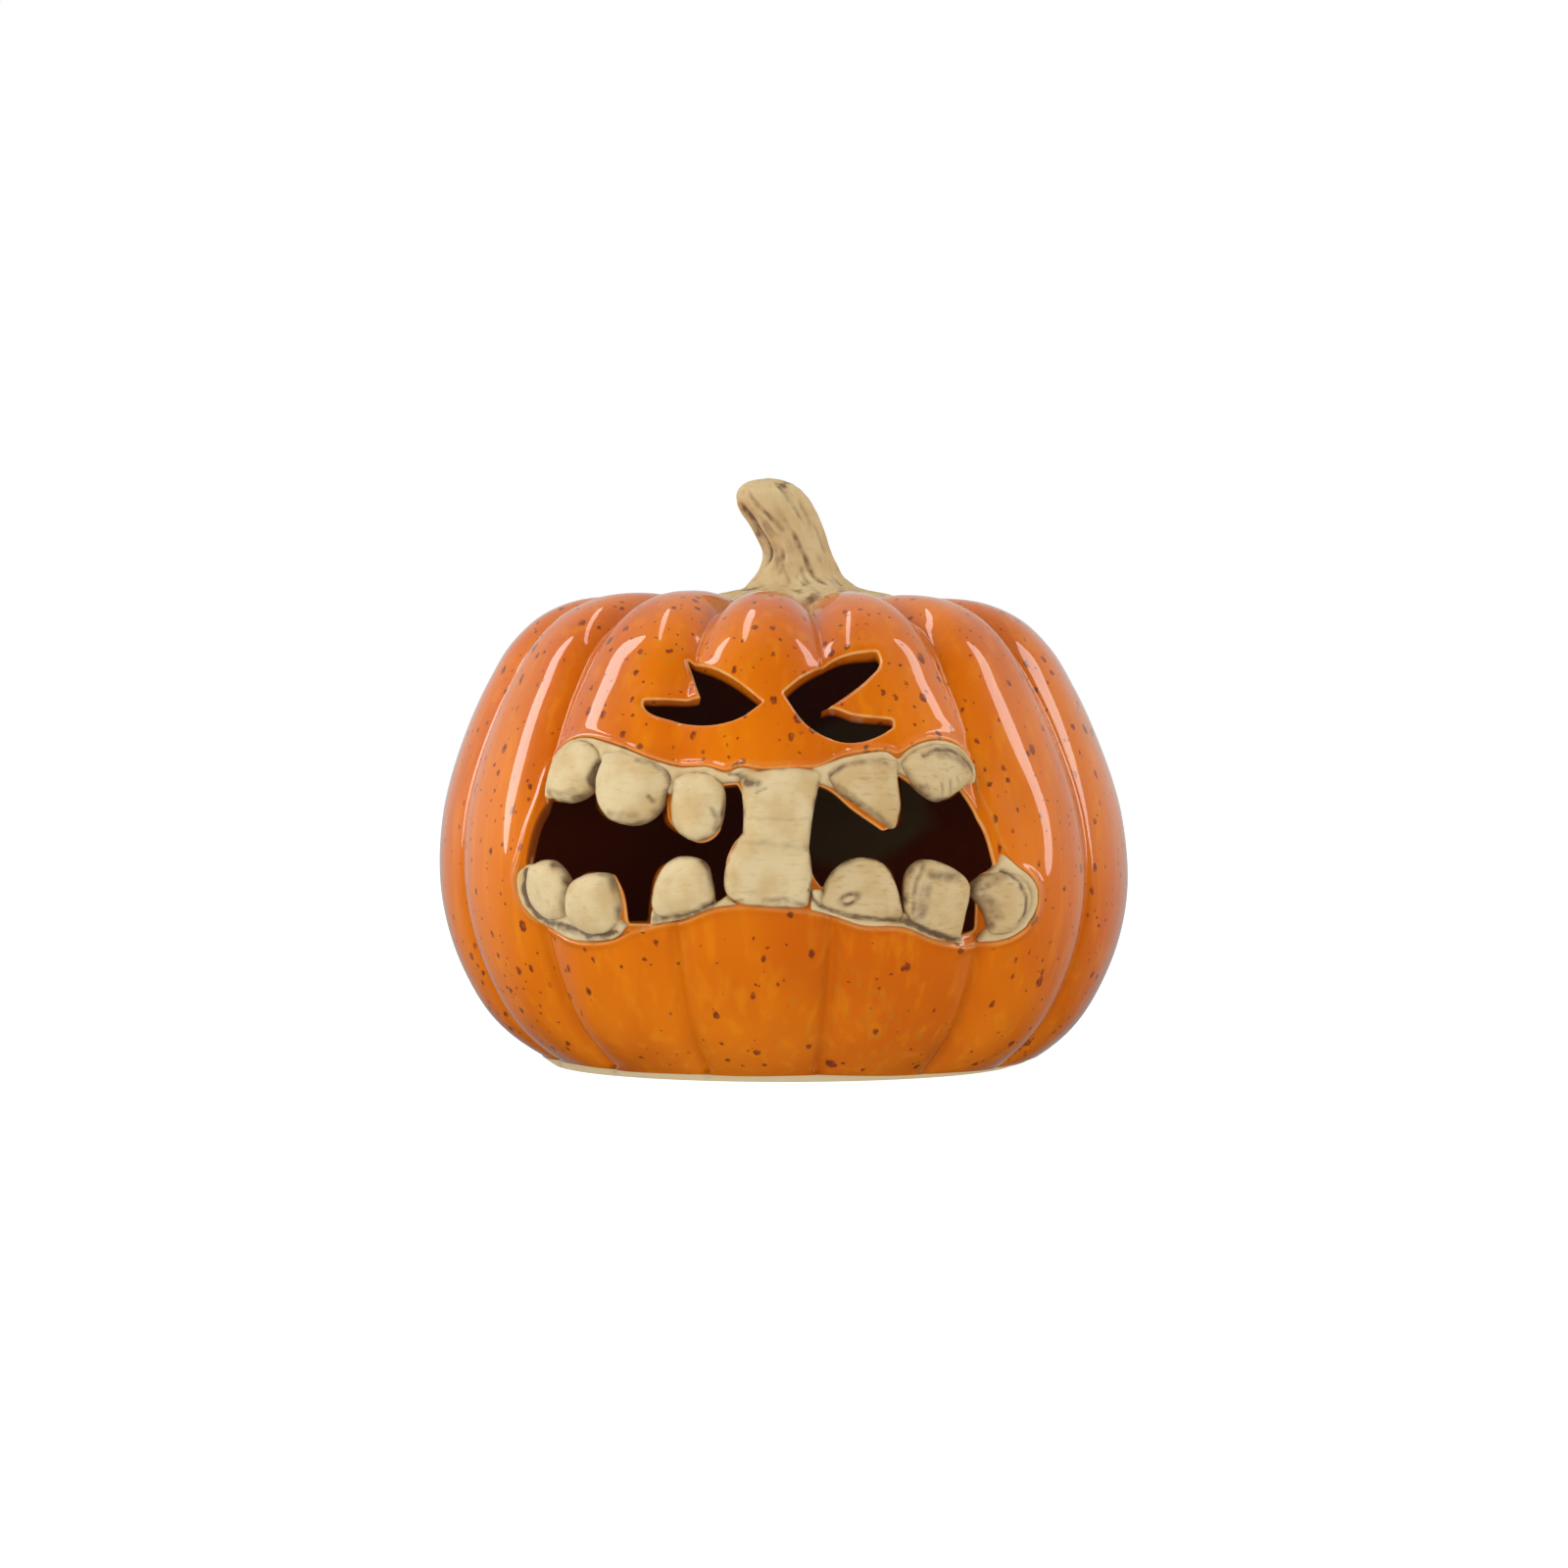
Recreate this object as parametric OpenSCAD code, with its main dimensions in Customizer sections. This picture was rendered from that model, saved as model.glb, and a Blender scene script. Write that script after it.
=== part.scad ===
/* [Body] */
// Radius of the flat foot that the lantern stands on
foot_r = 77.7; // [74:0.1:80]
// Radius of the opening in the underside
base_hole_r = 58; // [45:1:62]
// Thickness of the clay wall
wall = 6.5; // [5:0.5:8]
// Number of lobes round the body
lobes = 14; // [10:1:16]
// How much deeper the body is behind than in front
back_bulge = 4.9; // [0:0.1:8]

/* [Face] */
// How far the teeth stand out of the body
tooth_h = 4; // [3:0.5:5]
// How far the gum stands out of the body
gum_h = 1.2; // [0.8:0.1:2]

/* [Stem] */
// How deep the grooves of the stem are, as a share of its radius
stem_groove = 0.08; // [0:0.01:0.12]
// Number of ridges round the stem
stem_ridges = 7; // [5:1:9]

/* [Light] */
// Outside radius of the battery light
light_r = 19; // [18.5:0.1:20]
// Height of the light's rim
light_h = 17.5; // [17:0.1:19]
// Radius of the coin cell
cell_r = 10; // [10:0.1:10.2]
// Thickness of the coin cell
cell_h = 3.2; // [3:0.1:3.2]
// How far the switch slides from off to on
switch_travel = 3; // [2:0.5:3]

/* [Hidden] */

// ---- Body surface ----
// Directions are [azimuth, elevation] in degrees, seen from a core point on the
// body's axis. Azimuth 0 faces the front (-Y) and grows to the right (+X).
core_z = 70;
foot_elevation = -atan(core_z / foot_r);

// [elevation, distance from the core point] along the crest of a lobe
profile = [[-38, 107.6], [-30, 112.4], [-20, 114.9], [-8, 116.1], [5, 115.2], [20, 113.7],
           [30, 114], [38, 114.7], [44, 113.4], [50, 109.5], [56, 103.3], [62, 96.4],
           [68, 90.3], [76, 86]];
crown_r = 83;
// [elevation, how deep the crease between two lobes is]
crease_depth = [[-42, 0.8], [-34, 2.6], [-20, 3.4], [0, 3.4], [20, 3.8], [35, 5], [48, 7],
                [58, 8], [68, 6], [80, 1.5]];
// [elevation, how far the body leans to the left, or to the right where it is negative]
lean = [[-30, -1.5], [-8, -1.2], [5, -0.4], [20, 0.5], [45, 1], [70, 0.4], [90, 0]];
first_crease = 7.8;
crease_sharpness = 2.8;
crease_round = 0.12;
facets_per_lobe = 6;

function soft(s) = (sqrt(s * s + crease_round * crease_round) - crease_round)
    / (sqrt(1 + crease_round * crease_round) - crease_round);
function lobe_place(az) = let (t = (az - first_crease) * lobes / 360) t - floor(t);
function crease(az) = pow(1 - soft(1 - abs(2 * lobe_place(az) - 1)), crease_sharpness);
function body_r(az, el, creased = 1) = lookup(el, profile)
    - creased * lookup(el, crease_depth) * crease(az)
    - lookup(el, lean) * sin(az)
    + back_bulge * pow(max(0, -cos(az)), 2) * cos(el);
function ray(az, el, r) = [r * cos(el) * sin(az), -r * cos(el) * cos(az), core_z + r * sin(el)];

// A closed solid through rings of equal length, listed from the bottom up
module ring_solid(rings, bottom, top) {
    n = len(rings[0]);
    last = len(rings) - 1;
    points = [bottom, for (ring = rings) each ring, top];
    faces = [
        for (i = [0 : n - 1]) [0, 1 + i, 1 + (i + 1) % n],
        for (k = [0 : last - 1], i = [0 : n - 1])
            let (a = 1 + k * n + i, b = 1 + k * n + (i + 1) % n)
                each [[a, a + n, b], [b, a + n, b + n]],
        for (i = [0 : n - 1]) let (a = 1 + last * n) [len(points) - 1, a + (i + 1) % n, a + i]
    ];
    polyhedron(points, faces);
}

// Faceted solids joined or cut as one mesh, at their own size
module as_mesh() {
    resize([0, 0, 0]) children();
}

// The body without its hollow, grown outward by h
module body_solid(h = 0) {
    step = 360 / (lobes * facets_per_lobe);
    azimuths = [for (i = [0 : lobes * facets_per_lobe - 1]) i * step];
    foot = [for (az = azimuths) [(foot_r + h) * sin(az), -(foot_r + h) * cos(az), -h]];
    rings = [for (k = profile) [for (az = azimuths) ray(az, k[0], body_r(az, k[0]) + h)]];
    ring_solid(concat([foot], rings), [0, 0, -h], [0, 0, core_z + crown_r + h]);
}

// The hollow inside: its walls follow the lobes softly, and its floor is one wall up
module hollow() {
    floor_el = -34;
    step = 360 / (lobes * 3);
    azimuths = [for (i = [0 : lobes * 3 - 1]) i * step];
    floor_ring = [for (az = azimuths) let (r = (body_r(az, floor_el, 0.5) - wall) * cos(floor_el) - 4)
        [r * sin(az), -r * cos(az), wall]];
    rings = [for (el = [-34, -20, -5, 12, 28, 40, 48, 56, 66, 78])
        [for (az = azimuths) ray(az, el, body_r(az, el, 0.5) - wall)]];
    ring_solid(concat([floor_ring], rings), [0, 0, wall], [0, 0, core_z + crown_r - wall]);
}

// Everything seen from the core point through an outline of directions
module beam(outline) {
    near = 35;
    far = 160;
    translate([0, -near, core_z])
        rotate([90, 0, 0])
            linear_extrude(height = far - near, scale = far / near)
                polygon([for (p = outline) near * [tan(p[0]), tan(p[1]) / cos(p[0])]]);
}

// ---- Outlines of the face, as directions ----
left_eye = [[-19.5, 34.7], [-14.2, 32.6], [-8.8, 29.6], [-3.7, 25.8], [-7.6, 23.1], [-12.5, 22],
            [-18.9, 22.9], [-25.3, 25.2], [-25.6, 26.3], [-15.1, 27.1]];
right_eye = [[-0.1, 27.5], [4, 31.1], [9.3, 34.2], [18.1, 35], [18.3, 33], [15.8, 30.4],
             [6.4, 24.6], [8, 25.3], [12, 23.7], [18.8, 22.8], [18.7, 21.6], [16.2, 20.2],
             [12.6, 19.2], [8.4, 19.7], [4, 22]];
left_mouth = [[-42.8, 9.6], [-37, 9.6], [-31.6, 11.3], [-30.5, 8.5], [-27.5, 6.4], [-23, 6.4],
              [-20, 9.7], [-19.6, 10.4], [-18.9, 6.5], [-16.5, 4.4], [-13, 3], [-10.2, 4.5],
              [-9.6, 8], [-9.8, 12], [-7.4, 12.2], [-6.3, 9.5], [-6.2, 5], [-7.8, 3],
              [-9, 0], [-8.6, -4.6], [-10.5, -6.2], [-11.5, -2.5], [-13.5, 0.4], [-16.5, 0.6],
              [-19.5, -1], [-21, -6], [-21.6, -9.7], [-25.5, -9.7], [-26, -5], [-27.5, -2],
              [-31.5, -1.8], [-35.3, -3.9], [-39.5, -0.6], [-45.8, -0.8], [-44.6, 5]];
right_mouth = [[5.5, 12.3], [7.5, 11.5], [11, 8.2], [15.5, 4.8], [17.8, 5.6], [18.6, 9],
               [18.6, 13.7], [21, 12], [23.5, 9.9], [26, 9.9], [30, 11.6], [32.2, 8.9],
               [34, 5.5], [35.6, -1], [31.6, -3.5], [32.4, -6.5], [33.2, -11], [29.2, -11.7],
               [29.2, -7], [29.8, -3.8], [27.5, -2.1], [25, -0.5], [21.9, 0], [20, -1.2],
               [19, -5], [18.7, -7.4], [17.5, -4], [16, -0.8], [13.8, 0.4], [11, 0.4],
               [8.5, -1.2], [6, -4], [4.6, -2], [3.8, 2.5], [4.2, 7]];

teeth = [
    ["upper_left_tooth_1", [[-41.5, 10.5], [-36.5, 9.5], [-32, 11.5], [-31.5, 14.5],
        [-32.5, 17.5], [-35.6, 18.7], [-39.7, 17.9], [-42.1, 16], [-42.4, 13.5]]],
    ["upper_left_tooth_2", [[-30.9, 14.3], [-30.6, 11], [-29.5, 8.5], [-27, 6.4], [-23, 6.2],
        [-20.3, 8.4], [-19.3, 11], [-19, 13.6], [-20.5, 15], [-24, 16.1], [-28, 17],
        [-30.2, 16.4]]],
    ["upper_left_tooth_3", [[-18.1, 13.3], [-18.2, 8], [-17.5, 5.5], [-13.8, 3.3],
        [-10.3, 4.8], [-9.4, 7.5], [-9.7, 12], [-12, 13.8], [-15.8, 14.2]]],
    ["centre_upper_tooth", [[-6.3, 13], [-5.9, 7], [-6.1, 3.4], [3.4, 2.7], [4.3, 8],
        [5.2, 13.8], [2, 14.3], [-3, 13.8]]],
    ["centre_lower_tooth", [[-6.2, 3.1], [-7.5, 2], [-8.7, -1.5], [-8.4, -4.6], [-7, -5.6],
        [-1.5, -6.3], [3.4, -6.5], [4, -2], [3.6, 1.8], [3.2, 2.4]]],
    ["upper_right_tooth_1", [[7.1, 13.3], [8.5, 11.2], [11, 9.3], [14.3, 6.6], [17, 4.9],
        [18.1, 8.5], [18, 12], [18.4, 15.8], [15.6, 16.2], [12, 16], [9, 15.2]]],
    ["upper_right_tooth_2", [[19, 15.1], [20.5, 13], [22.5, 10.9], [25, 9.7], [28.1, 11],
        [32, 13.3], [32.7, 15], [31, 17.4], [28, 18.3], [24, 18], [21.1, 16.9]]],
    ["lower_left_tooth_1", [[-44.6, -1.1], [-45.2, -4.5], [-44, -7.9], [-41, -9.2],
        [-36.8, -8.6], [-36, -6.5], [-35.8, -3.7], [-38.5, -0.9], [-41.3, -0.2]]],
    ["lower_left_tooth_2", [[-34.9, -4], [-35.6, -6], [-35.5, -8.5], [-33.2, -10.4],
        [-30, -11.1], [-26.8, -10.1], [-25.4, -7.5], [-25.8, -4.5], [-27, -1.9],
        [-30, -1.7], [-32.6, -2.3]]],
    ["lower_left_tooth_3", [[-20.4, -4.7], [-20.6, -7], [-19.5, -8.6], [-13.5, -7.2],
        [-10.9, -5.8], [-11.3, -3.2], [-12.3, -0.3], [-14.5, 0.6], [-17.5, 0.3],
        [-19.5, -2]]],
    ["lower_right_tooth_1", [[6.2, -4.6], [5.9, -6.1], [7.5, -7.4], [11.4, -8.4], [18, -8.6],
        [17.8, -7], [16.5, -2.8], [15, -0.4], [12.5, 0.5], [9.9, 0], [7.5, -2]]],
    ["lower_right_tooth_2", [[19.2, -8], [21, -9.4], [25.4, -11.2], [28.1, -11.8],
        [28.6, -8], [29.2, -4.5], [28.8, -3], [25, -0.6], [21.6, 0.1], [19.6, -1.2],
        [18.8, -4]]],
    ["lower_right_tooth_3", [[30.2, -4.3], [32.2, -6.7], [33.6, -9.4], [33, -12.2],
        [37, -12], [40.2, -10], [41.9, -7.6], [42, -5], [40.6, -3], [38, -2],
        [35.5, -2.1], [32.8, -2.9]]],
];

gums = [
    ["upper_left_gum", [[-43, 10], [-43.4, 13.5], [-42.8, 17], [-40, 19], [-35.5, 19.7],
        [-31, 18.9], [-27, 17.8], [-22, 16.2], [-17, 15.2], [-12, 14.9], [-9, 13.9],
        [-7.2, 14.7], [-5, 14.2], [-6.2, 12.5], [-9.8, 12.3], [-19.2, 10.8], [-31, 11.8],
        [-36.5, 10.4]]],
    ["upper_right_gum", [[5, 12.6], [5.4, 14.8], [9, 16.6], [13, 17.2], [17, 17.2],
        [18.6, 16], [20.5, 17.6], [24, 19], [28, 19.3], [31.5, 18.4], [33.8, 15.5],
        [33.2, 12.6], [30.2, 12], [25, 11], [18.6, 14], [12, 9.6], [8, 11.8]]],
    ["lower_left_gum", [[-45, -0.4], [-47.3, -2.2], [-47.5, -5], [-46.4, -7.8], [-44, -10],
        [-40, -11], [-36, -12.2], [-31.5, -12.4], [-27, -11.6], [-25.2, -9.8],
        [-28, -8], [-35.5, -5], [-40, -4]]],
    ["lower_centre_gum", [[-21.5, -9.8], [-16, -8.9], [-11, -6.9], [-7, -6.3], [-8.4, -4.8],
        [-10.7, -6], [-14, -6], [-21, -7]]],
    ["lower_right_gum", [[4.2, -4], [4, -7.2], [8, -8.4], [12, -9.6], [18.5, -9.8],
        [24, -11.8], [29.4, -12.8], [29.1, -11.8], [27, -9], [18.8, -7.6], [12, -6],
        [6, -4.2]]],
    ["right_corner_gum", [[35.7, -0.6], [36.4, 1.2], [39, -0.4], [43, -2.2], [44.4, -5],
        [44, -8.3], [42, -10.8], [38, -12.9], [33, -13.2], [33.3, -11.4], [38, -7],
        [34.6, -4.4], [31.8, -3.8]]],
];

function outline_of(list, name) = [for (item = list) if (item[0] == name) item[1]][0];
function middle(outline) = [for (k = [0, 1]) sum([for (p = outline) p[k]]) / len(outline)];
function sum(values, i = 0) = i == len(values) ? 0 : values[i] + sum(values, i + 1);

// ---- Clay pieces ----
module pumpkin_shell() {
    color("darkorange")
        as_mesh()
            difference() {
                body_solid();
                hollow();
                translate([0, 0, -1]) cylinder(h = wall + 2, r = base_hole_r, $fn = 84);
                for (opening = [left_eye, right_eye, left_mouth, right_mouth]) beam(opening);
            }
}

// [height, centre x, radius] up the stem, and how far the flange spreads into the creases
stem_rings = [[148, 5, 26], [154, 5, 29], [157, 5, 25], [159.5, 5, 19], [162.5, 5, 15.4],
              [166, 5, 12.8], [170, 4.6, 11.5], [174, 3.4, 11.3], [178, 1.9, 11.8],
              [182, 0, 12.2], [186, -2.3, 12.5], [190, -4, 11.8], [193, -5, 9.8], [195.2, -5.4, 6]];
stem_top = 196.2;
stem_sides = 28;
flange_top = 159;
flange_spread = 0.18;

module stem() {
    rings = [for (s = stem_rings) [for (i = [0 : stem_sides - 1])
        let (az = i * 360 / stem_sides,
             ridge = 1 + stem_groove * cos(stem_ridges * az + s[0]),
             spread = 1 + (s[0] < flange_top ? flange_spread * crease(az) : 0))
        [s[1] + s[2] * ridge * spread * sin(az), -s[2] * ridge * spread * cos(az), s[0]]]];
    color("wheat")
        as_mesh()
            difference() {
                ring_solid(rings, [5, 0, 148], [-5.4, 0, stem_top]);
                body_solid();
            }
}

// A rounded pad on the body: rings step inward as they rise
module tooth(name) {
    outline = outline_of(teeth, name);
    centre = middle(outline);
    steps = [[1, -2], [1, tooth_h * 0.4], [0.9, tooth_h * 0.8], [0.65, tooth_h]];
    rings = [for (s = steps) [for (p = outline)
        let (q = centre + s[0] * (p - centre)) ray(q[0], q[1], body_r(q[0], q[1]) + s[1])]];
    base = body_r(centre[0], centre[1]);
    color("wheat")
        as_mesh()
            difference() {
                ring_solid(rings, ray(centre[0], centre[1], base - 2),
                           ray(centre[0], centre[1], base + tooth_h));
                body_solid();
            }
}

// A thin band of clay between the lip and the roots of the teeth
module gum(name) {
    color("tan")
        as_mesh()
            difference() {
                intersection() {
                    body_solid(gum_h);
                    beam(outline_of(gums, name));
                }
                body_solid();
                for (item = teeth) beam(item[1]);
                for (opening = [left_mouth, right_mouth]) beam(opening);
            }
}

// ---- Battery light ----
light_wall = 1.2;
light_gap = 0.3;
plate_z = 0.6;
plate_h = 1.2;
plate_top = plate_z + plate_h;
cover_z = light_h - 2.5;
flame_r = 5.4;
flame_h = 20;
cell_z = 2.2;
cell_top = cell_z + cell_h;
collar_r = cell_r + 0.2;
collar_wall = 1.2;
hinge_y = 13;
hinge_z = plate_z + 0.9;
barrel_r = 0.9;
pin_r = 0.5;
door_w = 8;
lug_w = 2;
switch_x = 14.4;
lead_r = 0.25;
lead_x = 1.27;
metal = 0.3;

module light_housing() {
    color("ivory")
        difference() {
            cylinder(h = light_h, r = light_r, $fn = 96);
            translate([0, 0, -1])
                cylinder(h = cover_z - light_wall + 1, r = light_r - light_wall, $fn = 96);
            translate([0, 0, cover_z])
                cylinder(h = light_h, r1 = light_r - 4, r2 = light_r + 8, $fn = 96);
            cylinder(h = light_h, r = flame_r + light_gap, $fn = 48);
        }
}

module flame() {
    bulge = flame_r - 0.3;
    base = cover_z - light_wall - 0.8;
    color("orange", 0.6)
        translate([0, 0, base])
            rotate_extrude($fn = 48)
                polygon([[flame_r - 1.2, 0], [flame_r + 2, 0], [flame_r + 2, 0.8], [flame_r, 0.8],
                         [flame_r, 4], [bulge, 7], [4.2, 11], [2.8, 15], [1.2, 18.5], [0, flame_h],
                         [0, flame_h - 1.8], [1.8, 15], [3.2, 11], [bulge - 1.2, 7],
                         [flame_r - 1.2, 4]]);
}

module led() {
    base = cell_top + 6.4;
    color("white")
        translate([0, 0, base]) {
            cylinder(h = 0.8, r = 1.9, $fn = 32);
            cylinder(h = 4, r = 1.5, $fn = 32);
            translate([0, 0, 4]) sphere(r = 1.5, $fn = 32);
        }
    color("silver") {
        translate([lead_x, 0, cell_top + metal])
            cylinder(h = base - cell_top - metal, r = lead_r, $fn = 16);
        translate([-lead_x, 0, cell_top + metal * 3])
            cylinder(h = base - cell_top - metal * 3, r = lead_r, $fn = 16);
    }
}

module hinge_space() {
    translate([-door_w / 2 - light_gap, cell_r - 2, plate_z - 1])
        cube([door_w + 2 * light_gap, hinge_y + 1.5 - cell_r + 2, 3.3]);
}

module base_plate() {
    slot = [3, 3 + switch_travel + 2 * light_gap];
    lug_x = door_w / 2 + light_gap + lug_w / 2;
    color("ivory")
        difference() {
            union() {
                translate([0, 0, plate_z]) cylinder(h = plate_h, r = light_r - light_wall, $fn = 96);
                translate([0, 0, plate_top])
                    cylinder(h = cell_top - plate_top, r = collar_r + collar_wall, $fn = 96);
                for (side = [-1, 1])
                    translate([side * lug_x - lug_w / 2, hinge_y - 1.5, plate_z]) cube([lug_w, 3, 2.6]);
            }
            translate([0, 0, -1]) cylinder(h = 10, r = collar_r, $fn = 96);
            hinge_space();
            translate([0, hinge_y, hinge_z]) rotate([0, 90, 0])
                cylinder(h = door_w + 2 * lug_w + 2, r = pin_r + 0.06, center = true, $fn = 32);
            translate([-2.5, -cell_r - 2.6, -1]) cube([5, 4, plate_top + 1 + light_gap]);
            translate([-collar_r - 2, -2.3, plate_top]) cube([4, 4.6, 10]);
            translate([switch_x - slot[0] / 2, -slot[1] / 2, -1]) cube([slot[0], slot[1], 10]);
        }
}

module battery_door() {
    color("ivory") {
        translate([0, 0, plate_z]) cylinder(h = plate_h, r = collar_r - light_gap, $fn = 96);
        translate([-door_w / 2, cell_r - 1.5, plate_z]) cube([door_w, hinge_y - cell_r + 1.5, plate_h]);
        translate([0, hinge_y, hinge_z]) rotate([0, 90, 0]) {
            cylinder(h = door_w, r = barrel_r, center = true, $fn = 32);
            cylinder(h = door_w + 2 * (lug_w + light_gap) - 0.4, r = pin_r, center = true, $fn = 32);
        }
        translate([-2.2, -cell_r - 2.2, plate_z]) cube([4.4, 4, plate_h]);
    }
}

module coin_cell() {
    color("silver") translate([0, 0, cell_z]) {
        cylinder(h = cell_h - 0.4, r = cell_r, $fn = 96);
        cylinder(h = cell_h, r = cell_r - 1, $fn = 96);
    }
}

module positive_contact() {
    color("gold") {
        translate([-cell_r - metal, -2, cell_z]) cube([metal, 4, cell_h + 2 * metal]);
        translate([-cell_r - metal, -2, cell_top + 2 * metal])
            cube([cell_r + metal - lead_x + 0.6, 4, metal]);
    }
}

module negative_contact() {
    color("gold") translate([-4, -6, cell_top]) cube([8, 12, metal]);
}

module switch_slider() {
    nub = [2.2, 3];
    foot = [4.4, 3 + switch_travel + 1];
    color("dimgray") translate([switch_x, -switch_travel / 2, 0]) {
        translate([-nub[0] / 2, -nub[1] / 2, light_gap]) cube([nub[0], nub[1], plate_top]);
        translate([-foot[0] / 2, -foot[1] / 2, plate_top + light_gap / 3]) cube([foot[0], foot[1], 1]);
    }
}

pumpkin_shell();
stem();
for (item = teeth) tooth(item[0]);
for (item = gums) gum(item[0]);
light_housing();
flame();
led();
base_plate();
battery_door();
coin_cell();
positive_contact();
negative_contact();
switch_slider();
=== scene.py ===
import math

import bpy
import numpy as np
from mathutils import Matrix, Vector, kdtree, noise
from mathutils.geometry import delaunay_2d_cdt


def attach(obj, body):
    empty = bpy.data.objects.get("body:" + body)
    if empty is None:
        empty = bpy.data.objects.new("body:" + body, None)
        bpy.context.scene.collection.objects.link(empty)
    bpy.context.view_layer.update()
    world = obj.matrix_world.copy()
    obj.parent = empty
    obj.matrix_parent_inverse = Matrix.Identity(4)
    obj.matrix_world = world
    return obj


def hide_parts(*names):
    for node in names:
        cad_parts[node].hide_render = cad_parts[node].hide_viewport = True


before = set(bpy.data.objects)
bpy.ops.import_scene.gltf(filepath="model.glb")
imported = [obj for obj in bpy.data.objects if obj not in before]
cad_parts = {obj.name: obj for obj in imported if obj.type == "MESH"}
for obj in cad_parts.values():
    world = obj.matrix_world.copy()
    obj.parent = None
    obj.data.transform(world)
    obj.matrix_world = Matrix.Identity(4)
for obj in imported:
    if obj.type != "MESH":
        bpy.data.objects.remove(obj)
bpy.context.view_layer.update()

# ---------------------------------------------------------------- body surface
# Lengths in this part are in millimetres. Directions are (azimuth, elevation) in degrees
# seen from a core point on the body's axis: azimuth 0 faces the front (-Y), +X is positive.
MM = 0.001
CORE_Z = 70.0
FOOT_R = 77.7
BASE_HOLE_R = 58.0
WALL = 6.5
LOBES = 14
BACK_BULGE = 4.9
FIRST_CREASE = 7.8
CREASE_SHARPNESS = 2.8
CREASE_ROUND = 0.12
FOOT_ELEVATION = -math.degrees(math.atan(CORE_Z / FOOT_R))

# (elevation, distance from the core point) along the crest of a lobe
PROFILE = [(FOOT_ELEVATION, 104.6), (-38, 107.6), (-30, 112.4), (-20, 114.9), (-8, 116.1),
           (5, 115.2), (20, 113.7), (30, 114), (38, 114.7), (44, 113.4), (50, 109.5),
           (56, 103.3), (62, 96.4), (68, 90.3), (76, 86), (90, 83)]
# (elevation, how deep the crease between two lobes is)
CREASE_DEPTH = [(-42, 0.8), (-34, 2.6), (-20, 3.4), (0, 3.4), (20, 3.8), (35, 5), (48, 7),
                (58, 8), (68, 6), (80, 1.5), (90, 0)]
DEEPEST_CREASE = max(depth for _, depth in CREASE_DEPTH)
# (elevation, how far the body leans to the left, or to the right where it is negative)
LEAN = [(-30, -1.5), (-8, -1.2), (5, -0.4), (20, 0.5), (45, 1), (70, 0.4), (90, 0)]


def smooth_lookup(x, table):
    """A smooth curve through a table's points, level at its last one."""
    xs, ys = np.array(table, float).T
    slopes = np.gradient(ys, xs)
    slopes[-1] = 0
    x = np.clip(x, xs[0], xs[-1])
    i = np.clip(np.searchsorted(xs, x, side="right") - 1, 0, len(xs) - 2)
    gap = xs[i + 1] - xs[i]
    t = (x - xs[i]) / gap
    return ((2 * t**3 - 3 * t**2 + 1) * ys[i] + (t**3 - 2 * t**2 + t) * gap * slopes[i]
            + (3 * t**2 - 2 * t**3) * ys[i + 1] + (t**3 - t**2) * gap * slopes[i + 1])


def smoothstep(low, high, x):
    t = np.clip((x - low) / (high - low), 0, 1)
    return t * t * (3 - 2 * t)


def bell(x, width):
    """1 at zero, fading over a width."""
    return np.exp(-(x / width) ** 2)


def rounded(t):
    """A quarter-round step from 0 to 1."""
    return np.sqrt(1 - (1 - np.clip(t, 0, 1)) ** 2)


def unit(vectors):
    return vectors / np.maximum(np.linalg.norm(vectors, axis=-1, keepdims=True), 1e-9)


def crease(az):
    """1 along the bottom of a crease, 0 along the crest of a lobe."""
    turn = ((az - FIRST_CREASE) * LOBES / 360) % 1.0
    side = 1 - np.abs(2 * turn - 1)
    side = np.sqrt(side**2 + CREASE_ROUND**2) - CREASE_ROUND
    side /= math.sqrt(1 + CREASE_ROUND**2) - CREASE_ROUND
    return (1 - side) ** CREASE_SHARPNESS


def crease_depth(az, el):
    return smooth_lookup(el, CREASE_DEPTH) * crease(az)


def body_radius(az, el, creased=1.0):
    a = np.radians(az)
    e = np.radians(el)
    return (smooth_lookup(el, PROFILE) - creased * crease_depth(az, el)
            - smooth_lookup(el, LEAN) * np.sin(a)
            + BACK_BULGE * np.maximum(0, -np.cos(a)) ** 2 * np.cos(e))


def place(az, el, radius):
    """The points at a distance from the core point, along directions."""
    a = np.radians(az)
    e = np.radians(el)
    return np.stack([radius * np.cos(e) * np.sin(a), -radius * np.cos(e) * np.cos(a),
                     CORE_Z + radius * np.sin(e)], -1)


def on_body(angles, rise=0.0):
    """The points on the body, or a height above it, along rows of directions."""
    return place(*angles.T, body_radius(*angles.T) + rise)


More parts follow.
